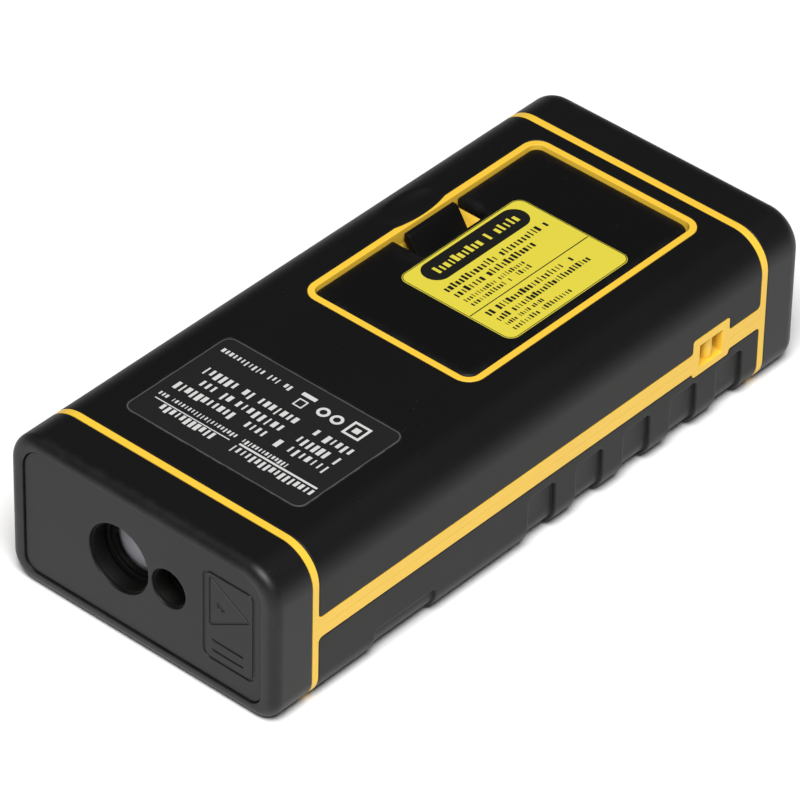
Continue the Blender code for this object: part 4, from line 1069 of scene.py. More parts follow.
def core_of(node, name):
    """A copy of a CAD shell without its raised lines, which the trim pieces stand for."""
    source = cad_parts[node]
    bm = bmesh.new()
    bm.from_mesh(source.data)
    bmesh.ops.remove_doubles(bm, verts=bm.verts, dist=0.000002)
    mesh = bpy.data.meshes.new(name)
    bm.to_mesh(mesh)
    bm.free()
    copy = add_object(name, mesh)
    under = TRIM_DEEP + 0.06
    section = rectangle((-HALF_WIDTH, HALF_WIDTH), (0.0, THICKNESS), BACK_R, 20)
    loops = [[(p.x, y, p.y) for p in section(under)] for y in (-HALF_LENGTH, HALF_LENGTH)]
    bar = loft("core_limit", loops, [0.0, 0.0])
    modifier = copy.modifiers.new("Keep", "BOOLEAN")
    modifier.operation = "INTERSECT"
    modifier.solver = "EXACT"
    modifier.object = bar
    mesh = make_plain(copy)
    bpy.data.objects.remove(bar, do_unlink=True)
    mesh.shade_smooth()
    mesh.set_sharp_from_angle(angle=math.radians(25))
    return copy


def build_frame_trim():
    """The raised yellow line round the battery door, down to the door's seat."""
    edge = mm(sizes().line_edge)
    sheet = Sheet(level(THICKNESS), THICKNESS - LEDGE_Z - 0.05)
    outer = sheet.rim(frame_outline(0.0), edge, support=0.05, steps=3)
    x = FRAME_X - FRAME_LINE - 0.01
    y = (FRAME_Y[0] + FRAME_LINE + 0.01, FRAME_Y[1] - FRAME_LINE - 0.01)
    inner = rectangle((-x, x), y, FRAME_R - FRAME_LINE, 8)
    hole = sheet.rim(inner, edge, hole=True, support=0.05, steps=3)
    sheet.fill(outer, [hole])
    return sheet.build("door_frame_line")


def build_lanyard_post():
    """The upright bar in the lanyard pocket."""
    loops = []
    for z in (POCKET_Z[0] - 0.3, POCKET_Z[1] + 0.5):
        ring = circle(HALF_WIDTH - 1.5, 39.0, 1.0, 40)(0.0)
        loops.append([(p.x, p.y, z) for p in ring])
    return loft("lanyard_post", loops, [0.0, 0.0])


def build_case():
    """Both shells' cores, their raised yellow lines and the lanyard post."""
    finish = finish_of("case")
    rear = core_of("rear_shell", "rear_case")
    front = core_of("front_shell", "front_case")
    seam = 0.02
    rear_trim = build_trim(
        "rear_case_lines", body_surface,
        shell_outline(s_at(PARTING_Z) - seam / 2, s_at(POCKET_Z[1])),
        back_region(0.0), ARC_STATIONS)
    front_trim = build_trim(
        "front_case_lines", front_surface,
        shell_outline(GIRTH - s_at(PARTING_Z) - seam / 2, GIRTH - s_at(POCKET_Z[0])),
        front_region(0.0), tuple(GIRTH - s for s in FRONT_STATIONS))
    settle(rear, HOUSING, finish, ["rear_shell"])
    settle(front, HOUSING, finish, ["front_shell"])
    for piece in (rear_trim, front_trim, build_frame_trim(), build_lanyard_post()):
        settle(piece, HOUSING, finish)


def scoop_depth(s, y):
    """How deep the finger scoop lies at a point of the back skin."""
    across, along = SCOOP_HALF
    share = ((s - SCOOP_S) / across) ** 2 + ((y - SCOOP_Y) / along) ** 2
    if share >= 1.0:
        return 0.0
    return max(0.0, SCOOP_SPHERE * math.sqrt(1.0 - share) - SCOOP_LIFT)


def build_back_skin():
    """The rubber over the back, with the door frame's opening and the label's bed."""
    seam = mm(sizes().seam)
    edge = mm(sizes().skin_edge)
    sheet = Sheet(body_surface, SKIN_DEEP, scoop_depth)
    outer = sheet.rim(back_region(-seam), edge)
    window = sheet.rim(frame_outline(seam, 8, 0.8), edge, hole=True, support=0.12)
    bed = rectangle(SPEC_X, SPEC_Y, LABEL_R, 8)
    mouth, floor = sheet.recess(bed, LABEL_BED, 0.08, 0.03)
    scoop = [(-23.4 + 0.42 * i, 13.2 + 0.5 * j) for i in range(18) for j in range(30)]
    grid = wrap_grid(ARC_STATIONS, (RING_IN[0] + 0.6, RING_IN[1] - 0.6), 2.6)
    (s0, s1), (y0, y1) = SCOOP_AREA
    grid = [(s, y) for s, y in grid if not (s0 < s < s1 and y0 < y < y1)]
    sheet.fill(outer, [window, mouth], grid + scoop)
    sheet.fill(floor, depth=LABEL_BED)
    return sheet.build("back_skin")


def build_grip(name, surface, notched):
    """A side grip with its finger pockets, wrapped round the front edge."""
    seam = mm(sizes().seam)
    low_s, high_s = s_at(STRIP_Z[0]) + seam, GIRTH - GRIP_REACH
    y0, y1 = RING_IN[0] + seam, RING_IN[1] - seam
    corners = [(low_s, y0, JUNCTION_R), (high_s, y0, 0.3), (high_s, y1, 0.3),
               (low_s, y1, JUNCTION_R)]
    if notched:
        corners += reversed(lanyard_notch(low_s, s_at(LANYARD_Z[0]) + seam, seam, 0.5))
    sheet = Sheet(surface, SKIN_DEEP)
    outer = sheet.rim(polygon(corners, 5, WRAP_STEP), mm(sizes().skin_edge))
    mouths = []
    depth = mm(sizes().pocket_depth)
    areas = [((middle - POCKET_HALF, middle + POCKET_HALF), POCKET_TOP_Z, depth)
             for middle in POCKET_MIDDLES]
    for y_range, top, sunk in (*areas, LONG_POCKET):
        shape = rectangle((s_at(top), GIRTH - POCKET_REACH), y_range, 0.7, 5, WRAP_STEP)
        mouth, floor = sheet.recess(shape, sunk, 0.28, 0.12, 0.05, support=0.2, steps=4)
        mouths.append(mouth)
        stations = [s for s in FRONT_STATIONS if s > s_at(top) + 0.5]
        sheet.fill(floor, grid=lattice(stations, y_range, 0.9), depth=sunk)
    grid = lattice(FRONT_STATIONS, (RING_IN[0] + 0.6, RING_IN[1] - 0.6), 1.3)
    sheet.fill(outer, mouths, grid)
    return sheet.build(name)


def build_skins():
    """The rubber of the back and of both sides."""
    for piece, node in (
            (build_back_skin(), "back_overmould"),
            (build_grip("right_side_grip", body_surface, True), "right_grip"),
            (build_grip("left_side_grip", mirrored_surface, False), "left_grip")):
        settle(piece, HOUSING, finish_of("skin"), [node])


# ------------------------------------------------------------------ bumpers and nose

def section_shape():
    """The body's own section as a shape, in (x, z)."""
    steps = sizes().arc_steps
    corners = ((-HALF_WIDTH, 0.0, FRONT_R), (HALF_WIDTH, 0.0, FRONT_R),
               (HALF_WIDTH, THICKNESS, BACK_R), (-HALF_WIDTH, THICKNESS, BACK_R))
    return polygon(corners, steps)


def end_loops(shape, base_y, end_y, radius, edge):
    """Loops from a bumper's inner edge, out over its rim and round its end edge."""
    way = 1.0 if end_y > base_y else -1.0
    stations = [(SKIN_DEEP, base_y, 0.0), (edge, base_y, 0.0)]
    stations += [(edge * b, base_y + way * edge * a, 1.0) for a, b in quarter(4, 1)]
    stations += [(0.0, base_y + way * (edge + FLAT_MARGIN), 0.0),
                 (0.0, end_y - way * (radius + FLAT_MARGIN), 0.0)]
    stations += [(radius * a, end_y - way * radius * b, 0.6) for a, b in quarter(12)]
    loops = [[(p.x, y, p.y) for p in shape(inset)] for inset, y, _ in stations]
    return loops, [wear for _, _, wear in stations]


def build_bumpers():
    """The nose guard, open round its panel, and the closed tail guard."""
    seam = mm(sizes().seam)
    edge = mm(sizes().skin_edge)
    shape = section_shape()
    finish = finish_of("bumper")

    radius = mm(sizes().nose_edge)
    base_y = RING_OUT[0] - seam
    loops, wear = end_loops(shape, base_y, -HALF_LENGTH, radius, edge)
    opening = panel_shape(0.05)
    floor_y = NOSE_FACE + 1.7
    lip = 0.1
    stations = [(-lip, -HALF_LENGTH, 0.0)]
    stations += [(-lip * b, -HALF_LENGTH + lip * a, 1.0) for a, b in quarter(3, 1)]
    stations.append((0.0, floor_y, 0.0))
    loops += [[(p.x, y, p.y) for p in opening(inset)] for inset, y, _ in stations]
    wear += [value for _, _, value in stations]
    loops.append([(p.x, floor_y, p.y) for p in shape(SKIN_DEEP + 0.8)])
    loops.append([(p.x, floor_y + 0.6, p.y) for p in shape(SKIN_DEEP)])
    wear += [0.0, 0.0]
    nose = loft("nose_guard", loops, wear, closed=True)
    settle(nose, HOUSING, finish, ["nose_bumper"])

    radius = mm(sizes().tail_edge)
    base_y = RING_OUT[1] + seam
    loops, wear = end_loops(shape, base_y, HALF_LENGTH, radius, edge)
    loops.append([(p.x, HALF_LENGTH, p.y) for p in shape(radius + 0.4)])
    inner = [[(p.x, HALF_LENGTH - 1.9, p.y) for p in shape(SKIN_DEEP + 1.0)],
             [(p.x, HALF_LENGTH - 2.6, p.y) for p in shape(SKIN_DEEP)]]
    tail = loft("tail_guard", inner + loops, [0.0, 0.0] + wear + [0.0])
    settle(tail, HOUSING, finish, ["tail_bumper"])


def panel_shape(grow):
    """The nose panel's outline in (x, z): wide corners at the back, tight ones in front."""
    x = PANEL_X + grow
    low, high = PANEL_Z[0] - grow, PANEL_Z[1] + grow
    corners = ((-x, low, 2.4 + grow), (x, low, 2.4 + grow), (x, high, 4.2 + grow),
               (-x, high, 4.2 + grow))
    return polygon(corners, sizes().arc_steps)


def groove(sheet, shape, width, depth):
    """A round-bottomed groove just inside a shape; gives its two edge loops."""
    stations = [(-0.12, 0.0, 0.0)]
    for k in range(9):
        turn = math.pi * k / 8
        sunk = depth * math.sin(turn) ** 0.7 if 0 < k < 8 else 0.0
        stations.append((width * (1 - math.cos(turn)) / 2, sunk, 0.5))
    stations.append((width + 0.12, 0.0, 0.0))
    return sheet.band(shape, stations)


def build_nose_panel():
    """The inset panel: two apertures with their collars, and a sunk triangle over two bars."""
    sheet = Sheet(nose_surface, 1.5)
    outer = sheet.rim(panel_shape(0.0), 0.28, support=0.15, steps=5)
    holes = [sheet.rim(circle(x, OPTICS_Z, radius, 96), 0.16, hole=True, support=0.12)
             for x, radius in APERTURES]
    frame_out, frame_in = groove(sheet, rectangle(*SIGN_PLATE, 8), 0.55, 0.22)
    x, z = SIGN_CENTRE
    corners = [(x + SIGN_REACH * math.cos(a), z + SIGN_REACH * math.sin(a), 0.35)
               for a in around(3)]
    mark_out, mark_in = groove(sheet, polygon(corners, 6), 0.42, 0.18)
    dot_mouth, dot_floor = sheet.recess(circle(x - 0.3, z, 0.85, 40), SIGN_DEEP, 0.05, 0.08)
    bars = []
    for z in BAR_ROWS:
        bar = rectangle(BAR_X, (z - BAR_HALF, z + BAR_HALF), 0.2, 4)
        bars.append(sheet.recess(bar, BAR_DEEP, 0.05, 0.05, support=0.1))
    sheet.fill(outer, [*holes, frame_out])
    sheet.fill(frame_in, [mark_out, *[mouth for mouth, _ in bars]])
    sheet.fill(mark_in, [dot_mouth])
    sheet.fill(dot_floor, depth=SIGN_DEEP)
    for _, floor in bars:
        sheet.fill(floor, depth=BAR_DEEP)
    panel = dress(sheet.build("nose_face_panel"), "panel")
    lip, deep = NOSE_FACE + 0.5, NOSE_FACE + 1.45
    for x, radius in APERTURES:
        ring = [(radius - 0.02, lip), (radius - 0.28, lip + 0.06), (radius - 0.34, lip + 0.2),
                (radius - 0.34, BORE_END_Y), (radius + 0.72, BORE_END_Y),
                (radius + 0.72, deep), (radius - 0.02, deep)]
        # Collars in the darker bore finish, painted shade inside the apertures.
        collar = turned("collar", x, OPTICS_Z, ring, 96, closed=True)
        join_into(panel, dress(collar, "bore"))
    settle(panel, HOUSING, None, ["nose_panel"])


def dome(radius, front, back, bulge, steps=14):
    """A plano-convex lens profile, curved at the nose end."""
    shares = [max(k / steps, 0.0008) for k in range(steps + 1)]
    profile = [(radius * share, front + bulge * share * share) for share in shares]
    return profile + [(radius, back), (0.001, back)]


def build_optics():
    """The turned parts that lie behind the two apertures."""
    for name, x, profile, sides, closed, finish, slot, node in (
            ("receiver_optic", RECEIVER_X, dome(4.95, -56.05, -54.0, 0.85), 96, False,
             "lens", "lens_glass", "receiver_lens"),
            # The ring takes the darker bore finish as painted shade behind the receiver
            # aperture.
            ("optic_ring", RECEIVER_X, LENS_RING, 96, True, "bore", "black_plastic",
             "lens_ring"),
            ("laser_tube_barrel", LASER_X, BARREL, 72, True, "brass", "brass",
             "laser_barrel"),
            ("laser_optic", LASER_X, dome(1.84, -54.58, -53.2, 0.4, 8), 48, False,
             "collimator", "lens_glass", "collimator_lens")):
        piece = turned(name, x, OPTICS_Z, profile, sides, closed)
        settle(piece, HOUSING, finish_of(finish), [node])


# ------------------------------------------------------------------ battery door

def build_door():
    """The cover with its rounded lip, the note's bed, the latch skirt and two hooks."""
    sheet = Sheet(level(DOOR_TOP), DOOR_TOP - DOOR_UNDER)
    x, (y0, y1) = DOOR_X, DOOR_Y
    corners = [(-x, y0, 1.73), (x, y0, 2.7), (x, y1, 2.7), (-x, y1, 1.73),
               (-x, NOTCH_Y[1], 0.35), (NOTCH_X, NOTCH_Y[1], 0.6), (NOTCH_X, NOTCH_Y[0], 0.6),
               (-x, NOTCH_Y[0], 0.35)]
    first, last = sheet.band(polygon(corners, 8), DOOR_LIP)
    sheet.walls.append(first)
    bed = rectangle(CAUTION_X, CAUTION_Y, LABEL_R, 8)
    mouth, floor = sheet.recess(bed, NOTE_BED, 0.03, 0.02, support=0.01, steps=2)
    sheet.fill(last, [mouth], lattice(range(-14, 15, 4), (y0 + 2, y1 - 2), 4.0))
    sheet.fill(floor, depth=NOTE_BED)
    door = sheet.build("cover_door")

    def along_y(u, v, w):
        return (u, w, v)

    skirt = rounded_bar("skirt", rectangle((NOTCH_X, NOTCH_X + 0.7), SKIRT_Z, 0.1, 3),
                        SKIRT_Y, 0.1, along_y)
    hook = rectangle(HOOK_X, (DOOR_UNDER, HOOK_TOP), 0.15, 3)
    hooks = [rounded_bar("hook", hook, span, 0.15, along_y) for span in HOOK_Y]
    join_into(door, skirt, *hooks)
    settle(door, "door", finish_of("door"), ["battery_door"])

    latch = rounded_bar("cover_latch", polygon(LATCH_OUTLINE, 5), LATCH_Y, 0.12, along_y)
    settle(latch, "latch", finish_of("door"), ["door_latch"])


# ------------------------------------------------------------------ labels and print

def print_tree():
    """Rows of plain printed blocks: one edge of the given mesh is one row."""
    tree = bpy.data.node_groups.new("printed_rows", "GeometryNodeTree")
    for label, kind, default in (
            ("Rows", "NodeSocketGeometry", None), ("Block", "NodeSocketFloat", 0.46),
            ("Gap", "NodeSocketFloat", 0.13), ("Thickness", "NodeSocketFloat", 0.00002),
            ("Blanks", "NodeSocketFloat", 0.10), ("Seed", "NodeSocketInt", 3),
            ("Ink", "NodeSocketMaterial", None)):
        socket = tree.interface.new_socket(label, in_out="INPUT", socket_type=kind)
        if default is not None:
            socket.default_value = default
    tree.interface.new_socket("Geometry", in_out="OUTPUT", socket_type="NodeSocketGeometry")
    nodes = Nodes(tree)
    given = nodes.add("NodeGroupInput").outputs
    height = nodes.add("GeometryNodeInputNamedAttribute", {"Name": "row_height"},
                       data_type="FLOAT").outputs[0]
    curves = nodes.add("GeometryNodeMeshToCurve", {"Mesh": given["Rows"]}).outputs[0]
    pitch = nodes.math("MULTIPLY", height, nodes.math("ADD", given["Block"], given["Gap"]))
    points = nodes.add("GeometryNodeResampleCurve", {"Curve": curves, "Length": pitch},
                       mode="LENGTH")
    tangent = nodes.add("GeometryNodeInputTangent").outputs[0]
    turn = nodes.add("FunctionNodeAlignRotationToVector", {"Vector": tangent}, axis="X",
                     pivot_axis="Z")
    spread = nodes.add("FunctionNodeRandomValue", {2: 0.3, 3: 1.0, "Seed": given["Seed"]},
                       data_type="FLOAT")
    rise = nodes.add("FunctionNodeRandomValue", {"Seed": nodes.math("ADD", given["Seed"], 3)},
                     data_type="FLOAT").outputs[1]
    share = nodes.band(nodes.math("GREATER_THAN", rise, 0.62), 0.0, 1.0, 0.78, 1.0)
    blank = nodes.add("FunctionNodeRandomValue", {
        "Seed": nodes.math("ADD", given["Seed"], 7), "Probability": given["Blanks"]},
                      data_type="BOOLEAN")
    kept = nodes.add("FunctionNodeBooleanMath", {0: blank.outputs[3]}, operation="NOT")
    width = nodes.math("MULTIPLY", nodes.math("MULTIPLY", height, given["Block"]),
                       spread.outputs[1])
    scale = nodes.add("ShaderNodeCombineXYZ", {
        "X": width, "Y": nodes.math("MULTIPLY", height, share), "Z": given["Thickness"]})
    cube = nodes.add("GeometryNodeMeshCube", {"Size": (1.0, 1.0, 1.0)}).outputs["Mesh"]
    block = nodes.add("GeometryNodeTransform", {
        "Geometry": cube, "Translation": (0.0, 0.5, 0.0)}).outputs[0]
    placed = nodes.add("GeometryNodeInstanceOnPoints", {
        "Points": points.outputs[0], "Selection": kept.outputs[0], "Instance": block,
        "Rotation": turn.outputs[0], "Scale": scale.outputs[0]})
    real = nodes.add("GeometryNodeRealizeInstances", {"Geometry": placed.outputs[0]})
    inked = nodes.add("GeometryNodeSetMaterial", {
        "Geometry": real.outputs[0], "Material": given["Ink"]})
    nodes.add("NodeGroupOutput", {0: inked.outputs[0]})
    return tree


def printed_rows(name, rows, height, finish, seed, **values):
    """Blocks of print on base lines from (x, y) to (x, y), with a height, as a plain mesh."""
    if "printed_rows" not in bpy.data.node_groups:
        print_tree()
    tree = bpy.data.node_groups["printed_rows"]
    mesh = bpy.data.meshes.new(name)
    points = [(x * MM, y * MM, height * MM) for row in rows for x, y in row[:2]]
    mesh.from_pydata(points, [(2 * k, 2 * k + 1) for k in range(len(rows))], [])
    attribute = mesh.attributes.new("row_height", "FLOAT", "POINT")
    attribute.data.foreach_set("value", [row[2] * MM for row in rows for _ in range(2)])
    item = add_object(name, mesh)
    modifier = item.modifiers.new("Print", "NODES")
    modifier.node_group = tree
    values = {"Seed": seed, "Ink": finish, **values}
    for socket in tree.interface.items_tree:
        if socket.in_out == "INPUT" and socket.name in values:
            modifier[socket.identifier] = values[socket.name]
    make_plain(item)
    return item


def line_frame(name, shape, width, top, finish):
    """A thin flat line just inside a shape: print on the note, a painted edge highlight on the
    dark label.
    """
    sheet = Sheet(level(top), 0.03)
    outer, inner = sheet.band(shape, ((0.10, 0.0, 0.0), (0.10 + width, 0.0, 0.0)))
    sheet.walls += [outer, inner]
    item = sheet.build(name)
    item.data.materials.append(finish)
    return item


def printed_patch(name, shape, top, finish, hole=None, facing=1.0, thickness=0.03):
    """A flat mark with square edges, with or without a hole."""
    sheet = Sheet(level(top, facing), thickness)
    outer = sheet.loop(shape, 0.0, 0.0)
    holes = [sheet.loop(hole, 0.0, 0.0)] if hole else []
    sheet.walls += [outer, *holes]
    sheet.fill(outer, holes)
    item = sheet.build(name)
    item.data.materials.append(finish)
    return item


def across(rows):
    """Rows of print that run along -X, their tops towards the nose."""
    return [((b, y1), (a, y1), y1 - y0) for y0, y1, *spans in rows for a, b in spans]


def upward(rows):
    """Rows of print that run along Y, their tops towards the latch."""
    shift_x, shift_y = NOTE_SHIFT
    return [((x1 + shift_x, y0 + shift_y), (x1 + shift_x, y1 + shift_y), x1 - x0)
            for x0, x1, y0, y1 in rows]


def patches(marks, height, finish):
    """Printed patches from (x, y, corner radius) rows, each with an optional hole."""
    made = []
    for outer, hole in marks:
        shapes = [rectangle(*row, 2) if row else None for row in (outer, hole)]
        made.append(printed_patch("mark", shapes[0], height, finish, shapes[1]))
    return made


def build_dark_label():
    """The film on the back with a grey line round it as its painted edge highlight, rows of
    blocks and plain signs.
    """
    top = THICKNESS - 0.05
    x, y = [(low + 0.06, high - 0.06) for low, high in (SPEC_X, SPEC_Y)]
    shape = rectangle(x, y, LABEL_R, 8)
    film = plate("label_film", level(top), shape, 0.18, 0.03)
    settle(film, HOUSING, finish_of("film"), ["spec_label"])
    height = top + PRINT_LIFT
    # A grey line painted just inside the film's edge as its highlight.
    border = line_frame("label_edge_painted_highlight", shape, 0.16, height, finish_of("painted_edge_highlight"))
    settle(border, HOUSING, None)
    ink = finish_of("ink")
    rows = printed_rows("label_print", across(LARGE_ROWS), height, ink, 11)
    fine = printed_rows("fine", across(SMALL_ROWS), height, ink, 29, Block=0.45, Gap=0.2)
    signs = patches(LABEL_SIGNS[:4], height, ink)
    signs += [printed_patch("ring", circle(x, -26.6, 1.1, 32), height, ink,
                            circle(x, -26.6, 0.6, 32)) for x in (5.35, 8.05)]
    join_into(rows, fine, *signs, *patches(LABEL_SIGNS[4:], height, ink))
    settle(rows, HOUSING, None)


def build_note():
    """The film on the door with its border, rows of blocks, a pill and a divider."""
    x, y = [(low + 0.03, high - 0.03) for low, high in (CAUTION_X, CAUTION_Y)]
    shape = rectangle(x, y, LABEL_R, 8)
    film = plate("note_film", level(DOOR_TOP), shape, 0.17, 0.03)
    settle(film, "door", finish_of("caution"), ["caution_label"])
    height = DOOR_TOP + PRINT_LIFT
    ink = finish_of("black_ink")
    prints = printed_rows("note_print", upward(NOTE_ROWS), height, ink, 5)
    fine = printed_rows("fine", upward(NOTE_SMALL_ROWS), height, ink, 17, Block=0.42, Gap=0.22)
    pill = printed_patch("pill", rectangle((-8.32, -3.37), (8.98, 32.08), 2.47, 12), height, ink)
    pale = printed_rows("pale", [((-4.95, 11.5), (-4.95, 29.7), 1.75)], height + 0.015,
                        finish_of("caution"), 41, Blanks=0.06)
    divider = patches([(((5.38, 5.58), (6.3, 33.9), 0.02), None)], height, ink)
    join_into(prints, fine, pill, pale, *divider)
    border = line_frame("note_border", shape, 0.14, height, ink)
    settle(border, "door", None)
    settle(prints, "door", None)


# ------------------------------------------------------------------ display side

def key_shape(column, row, width, height, grow=0.0):
    """A key's outline at its place in the grid, grown by a gap for the fascia's hole."""
    x, y = column * KEY_COLUMN, KEY_ROWS[row]
    return rectangle((x - width / 2 - grow, x + width / 2 + grow),
                     (y - height / 2 - grow, y + height / 2 + grow), 2.4 + grow, 8)


def build_front():
    """The fascia, the window with its printed border, the display and its segments."""
    sheet = Sheet(level(FASCIA_Z, -1.0), 1.2)
    outer = sheet.rim(rectangle(FASCIA_X, FASCIA_Y, 1.0, 6), 0.15)
    gap = 0.1
    window = rectangle((-WINDOW_X - gap, WINDOW_X + gap),
                       (WINDOW_Y[0] - gap, WINDOW_Y[1] + gap), 2.0 + gap, 8)
    holes = [sheet.rim(window, 0.2, hole=True)]
    holes += [sheet.rim(key_shape(*key[1:], grow=0.15), 0.25, hole=True) for key in KEYS]
    sheet.fill(outer, holes, lattice(range(-18, 19, 4), (-49.0, 48.0), 4.0))
    fascia = sheet.build("display_fascia")
    settle(fascia, HOUSING, finish_of("panel"), ["front_fascia"])

    pane_shape = rectangle((-WINDOW_X, WINDOW_X), WINDOW_Y, 2.0, 8)
    pane = plate("display_pane", level(FASCIA_Z + 0.05, -1.0), pane_shape, 1.05, 0.15)
    dress(pane, "window")
    sheet = Sheet(level(FASCIA_Z + 1.12, -1.0), 0.05)
    mask_out = sheet.rim(pane_shape, 0.01)
    sheet.fill(mask_out, [sheet.rim(rectangle(*SIGHT, 6), 0.01, hole=True)])
    join_into(pane, dress(sheet.build("mask"), "window_ink"))
    settle(pane, HOUSING, None, ["display_window"])

    glass = plate("display_cell", level(GLASS_Z, -1.0), rectangle(*GLASS, 3), 1.6, 0.08)
    settle(glass, HOUSING, finish_of("lcd"), ["lcd_glass"])
    rows = [((-DISPLAY_HALF, y), (DISPLAY_HALF, y), high) for y, high in DISPLAY_ROWS]
    shown = printed_rows("display_segments", rows, GLASS_Z - 0.005, finish_of("black_ink"),
                         23, Block=0.42, Gap=0.2, Blanks=0.3)
    settle(shown, HOUSING, None)


def cap_mark(name, column, row):
    """A plain raised mark for one key: bars and dots only."""
    x, y = column * KEY_COLUMN, KEY_ROWS[row]

    def bar(half_x, half_y, radius, dx=0.0, dy=0.0):
        return rectangle((x + dx - half_x, x + dx + half_x),
                         (y + dy - half_y, y + dy + half_y), radius, 4)

    marks = {
        "key_plus": [bar(1.6, 0.3, 0.25), bar(0.3, 1.6, 0.25)],
        "key_minus": [bar(1.6, 0.3, 0.25)],
        "key_measure": [circle(x, y, 1.5, 40)],
        "key_area": [bar(1.6, 1.1, 0.3)],
        "key_function": [bar(1.6, 0.25, 0.2, dy=d) for d in (-1.1, 0.0, 1.1)],
        "key_reference": [bar(0.25, 1.6, 0.2, dx=d) for d in (-1.3, 1.3)],
        "key_unit": [circle(x + d, y, 0.5, 24) for d in (-1.5, 0.0, 1.5)],
        "key_memory": [bar(1.5, 0.3, 0.25), circle(x, y + 1.4, 0.45, 24)],
        "key_power": [circle(x, y, 0.9, 32)],
    }[name]
    finish = finish_of("key_red" if name in ("key_measure", "key_power") else "ink")
    return [printed_patch("mark", shape, KEY_TIP_Z - 0.03, finish, None, -1.0, 0.12)
            for shape in marks]


def build_keys():
    """Nine rounded caps, each with a plunger under it and a plain mark on it."""
    for name, column, row, width, height in KEYS:
        shape = key_shape(column, row, width, height)
        x, y = column * KEY_COLUMN, KEY_ROWS[row]
        stations = [(2.2, KEY_TIP_Z), (1.4, KEY_TIP_Z + 0.01)]
        stations += [(KEY_EDGE_R * b, KEY_TIP_Z + 0.03 + KEY_EDGE_R * a)
                     for a, b in quarter(6, 1)]
        stations.append((0.0, KEY_BASE_Z))
        loops = [[(p.x, p.y, z) for p in shape(inset)] for inset, z in stations]
        wear = [0.0, 0.1, 0.3, 0.6, 0.8, 0.6, 0.3, 0.0, 0.0]
        cap = dress(loft(name.replace("key", "cap"), loops, wear), "key")
        ring = [[(x + r * math.cos(a), y + r * math.sin(a), z) for a in around(32)]
                for r, z in PLUNGER]
        plunger = dress(loft("plunger", ring, [0.0] * 3), "key")
        join_into(cap, plunger, *cap_mark(name, column, row))
        settle(cap, name + "_body", None, [name])


# ------------------------------------------------------------------ power

def build_cells():
    """Two cells side by side, turned opposite ways."""
    for name, x, flat, head, nub, finish in CELLS:
        way = 1 if nub > flat else -1
        profile = [(0.01, flat), (4.3, flat)]
        profile += [(CELL_R - 0.5 * b, flat + way * 0.5 * a) for a, b in quarter(5)]
        profile += [(CELL_R - 0.8 * a, head - way * 0.8 * b) for a, b in quarter(6)]
        profile += [(2.6, head), (2.5, head - way * 0.1), (1.95, head - way * 0.1),
                    (1.9, head), (1.9, nub - way * 0.2), (1.7, nub), (0.01, nub)]
        cell = turned(name, x, CELL_Z, profile, CELL_SIDES)
        settle(cell, HOUSING, finish_of(finish),
               [name.replace("power", "battery")])


CARRIED = {
    "bench": ("optical_bench",),
    "chip": ("buzzer", "processor_chip", "power_chip"),
    "ferrite": ("power_coil",),
    "lamp": ("lcd_backlight",),
    "zebra": ("lcd_connector",),
    "key": ("keypad_mat",),
    "steel": ("dome_sheet", "oscillator_can", "shield_can", "contact_bridge",
              "contact_positive", "contact_negative", "spring_bridge", "spring_negative"),
    "gold": ("laser_diode", "photodiode"),
    "board": ("main_board", "receiver_board"),
    "screw": ("case_screw_nose_left", "case_screw_nose_right", "case_screw_tail_left",
              "case_screw_tail_right", "board_screw_left", "board_screw_right",
              "bench_screw_left", "bench_screw_right"),
}


def dress_carried_nodes():
    """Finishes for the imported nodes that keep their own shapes."""
    for finish, names in CARRIED.items():
        for name in names:
            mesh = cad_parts[name].data
            for slot in range(len(mesh.materials)):
                mesh.materials[slot] = finish_of(finish)


# ------------------------------------------------------------------ stage

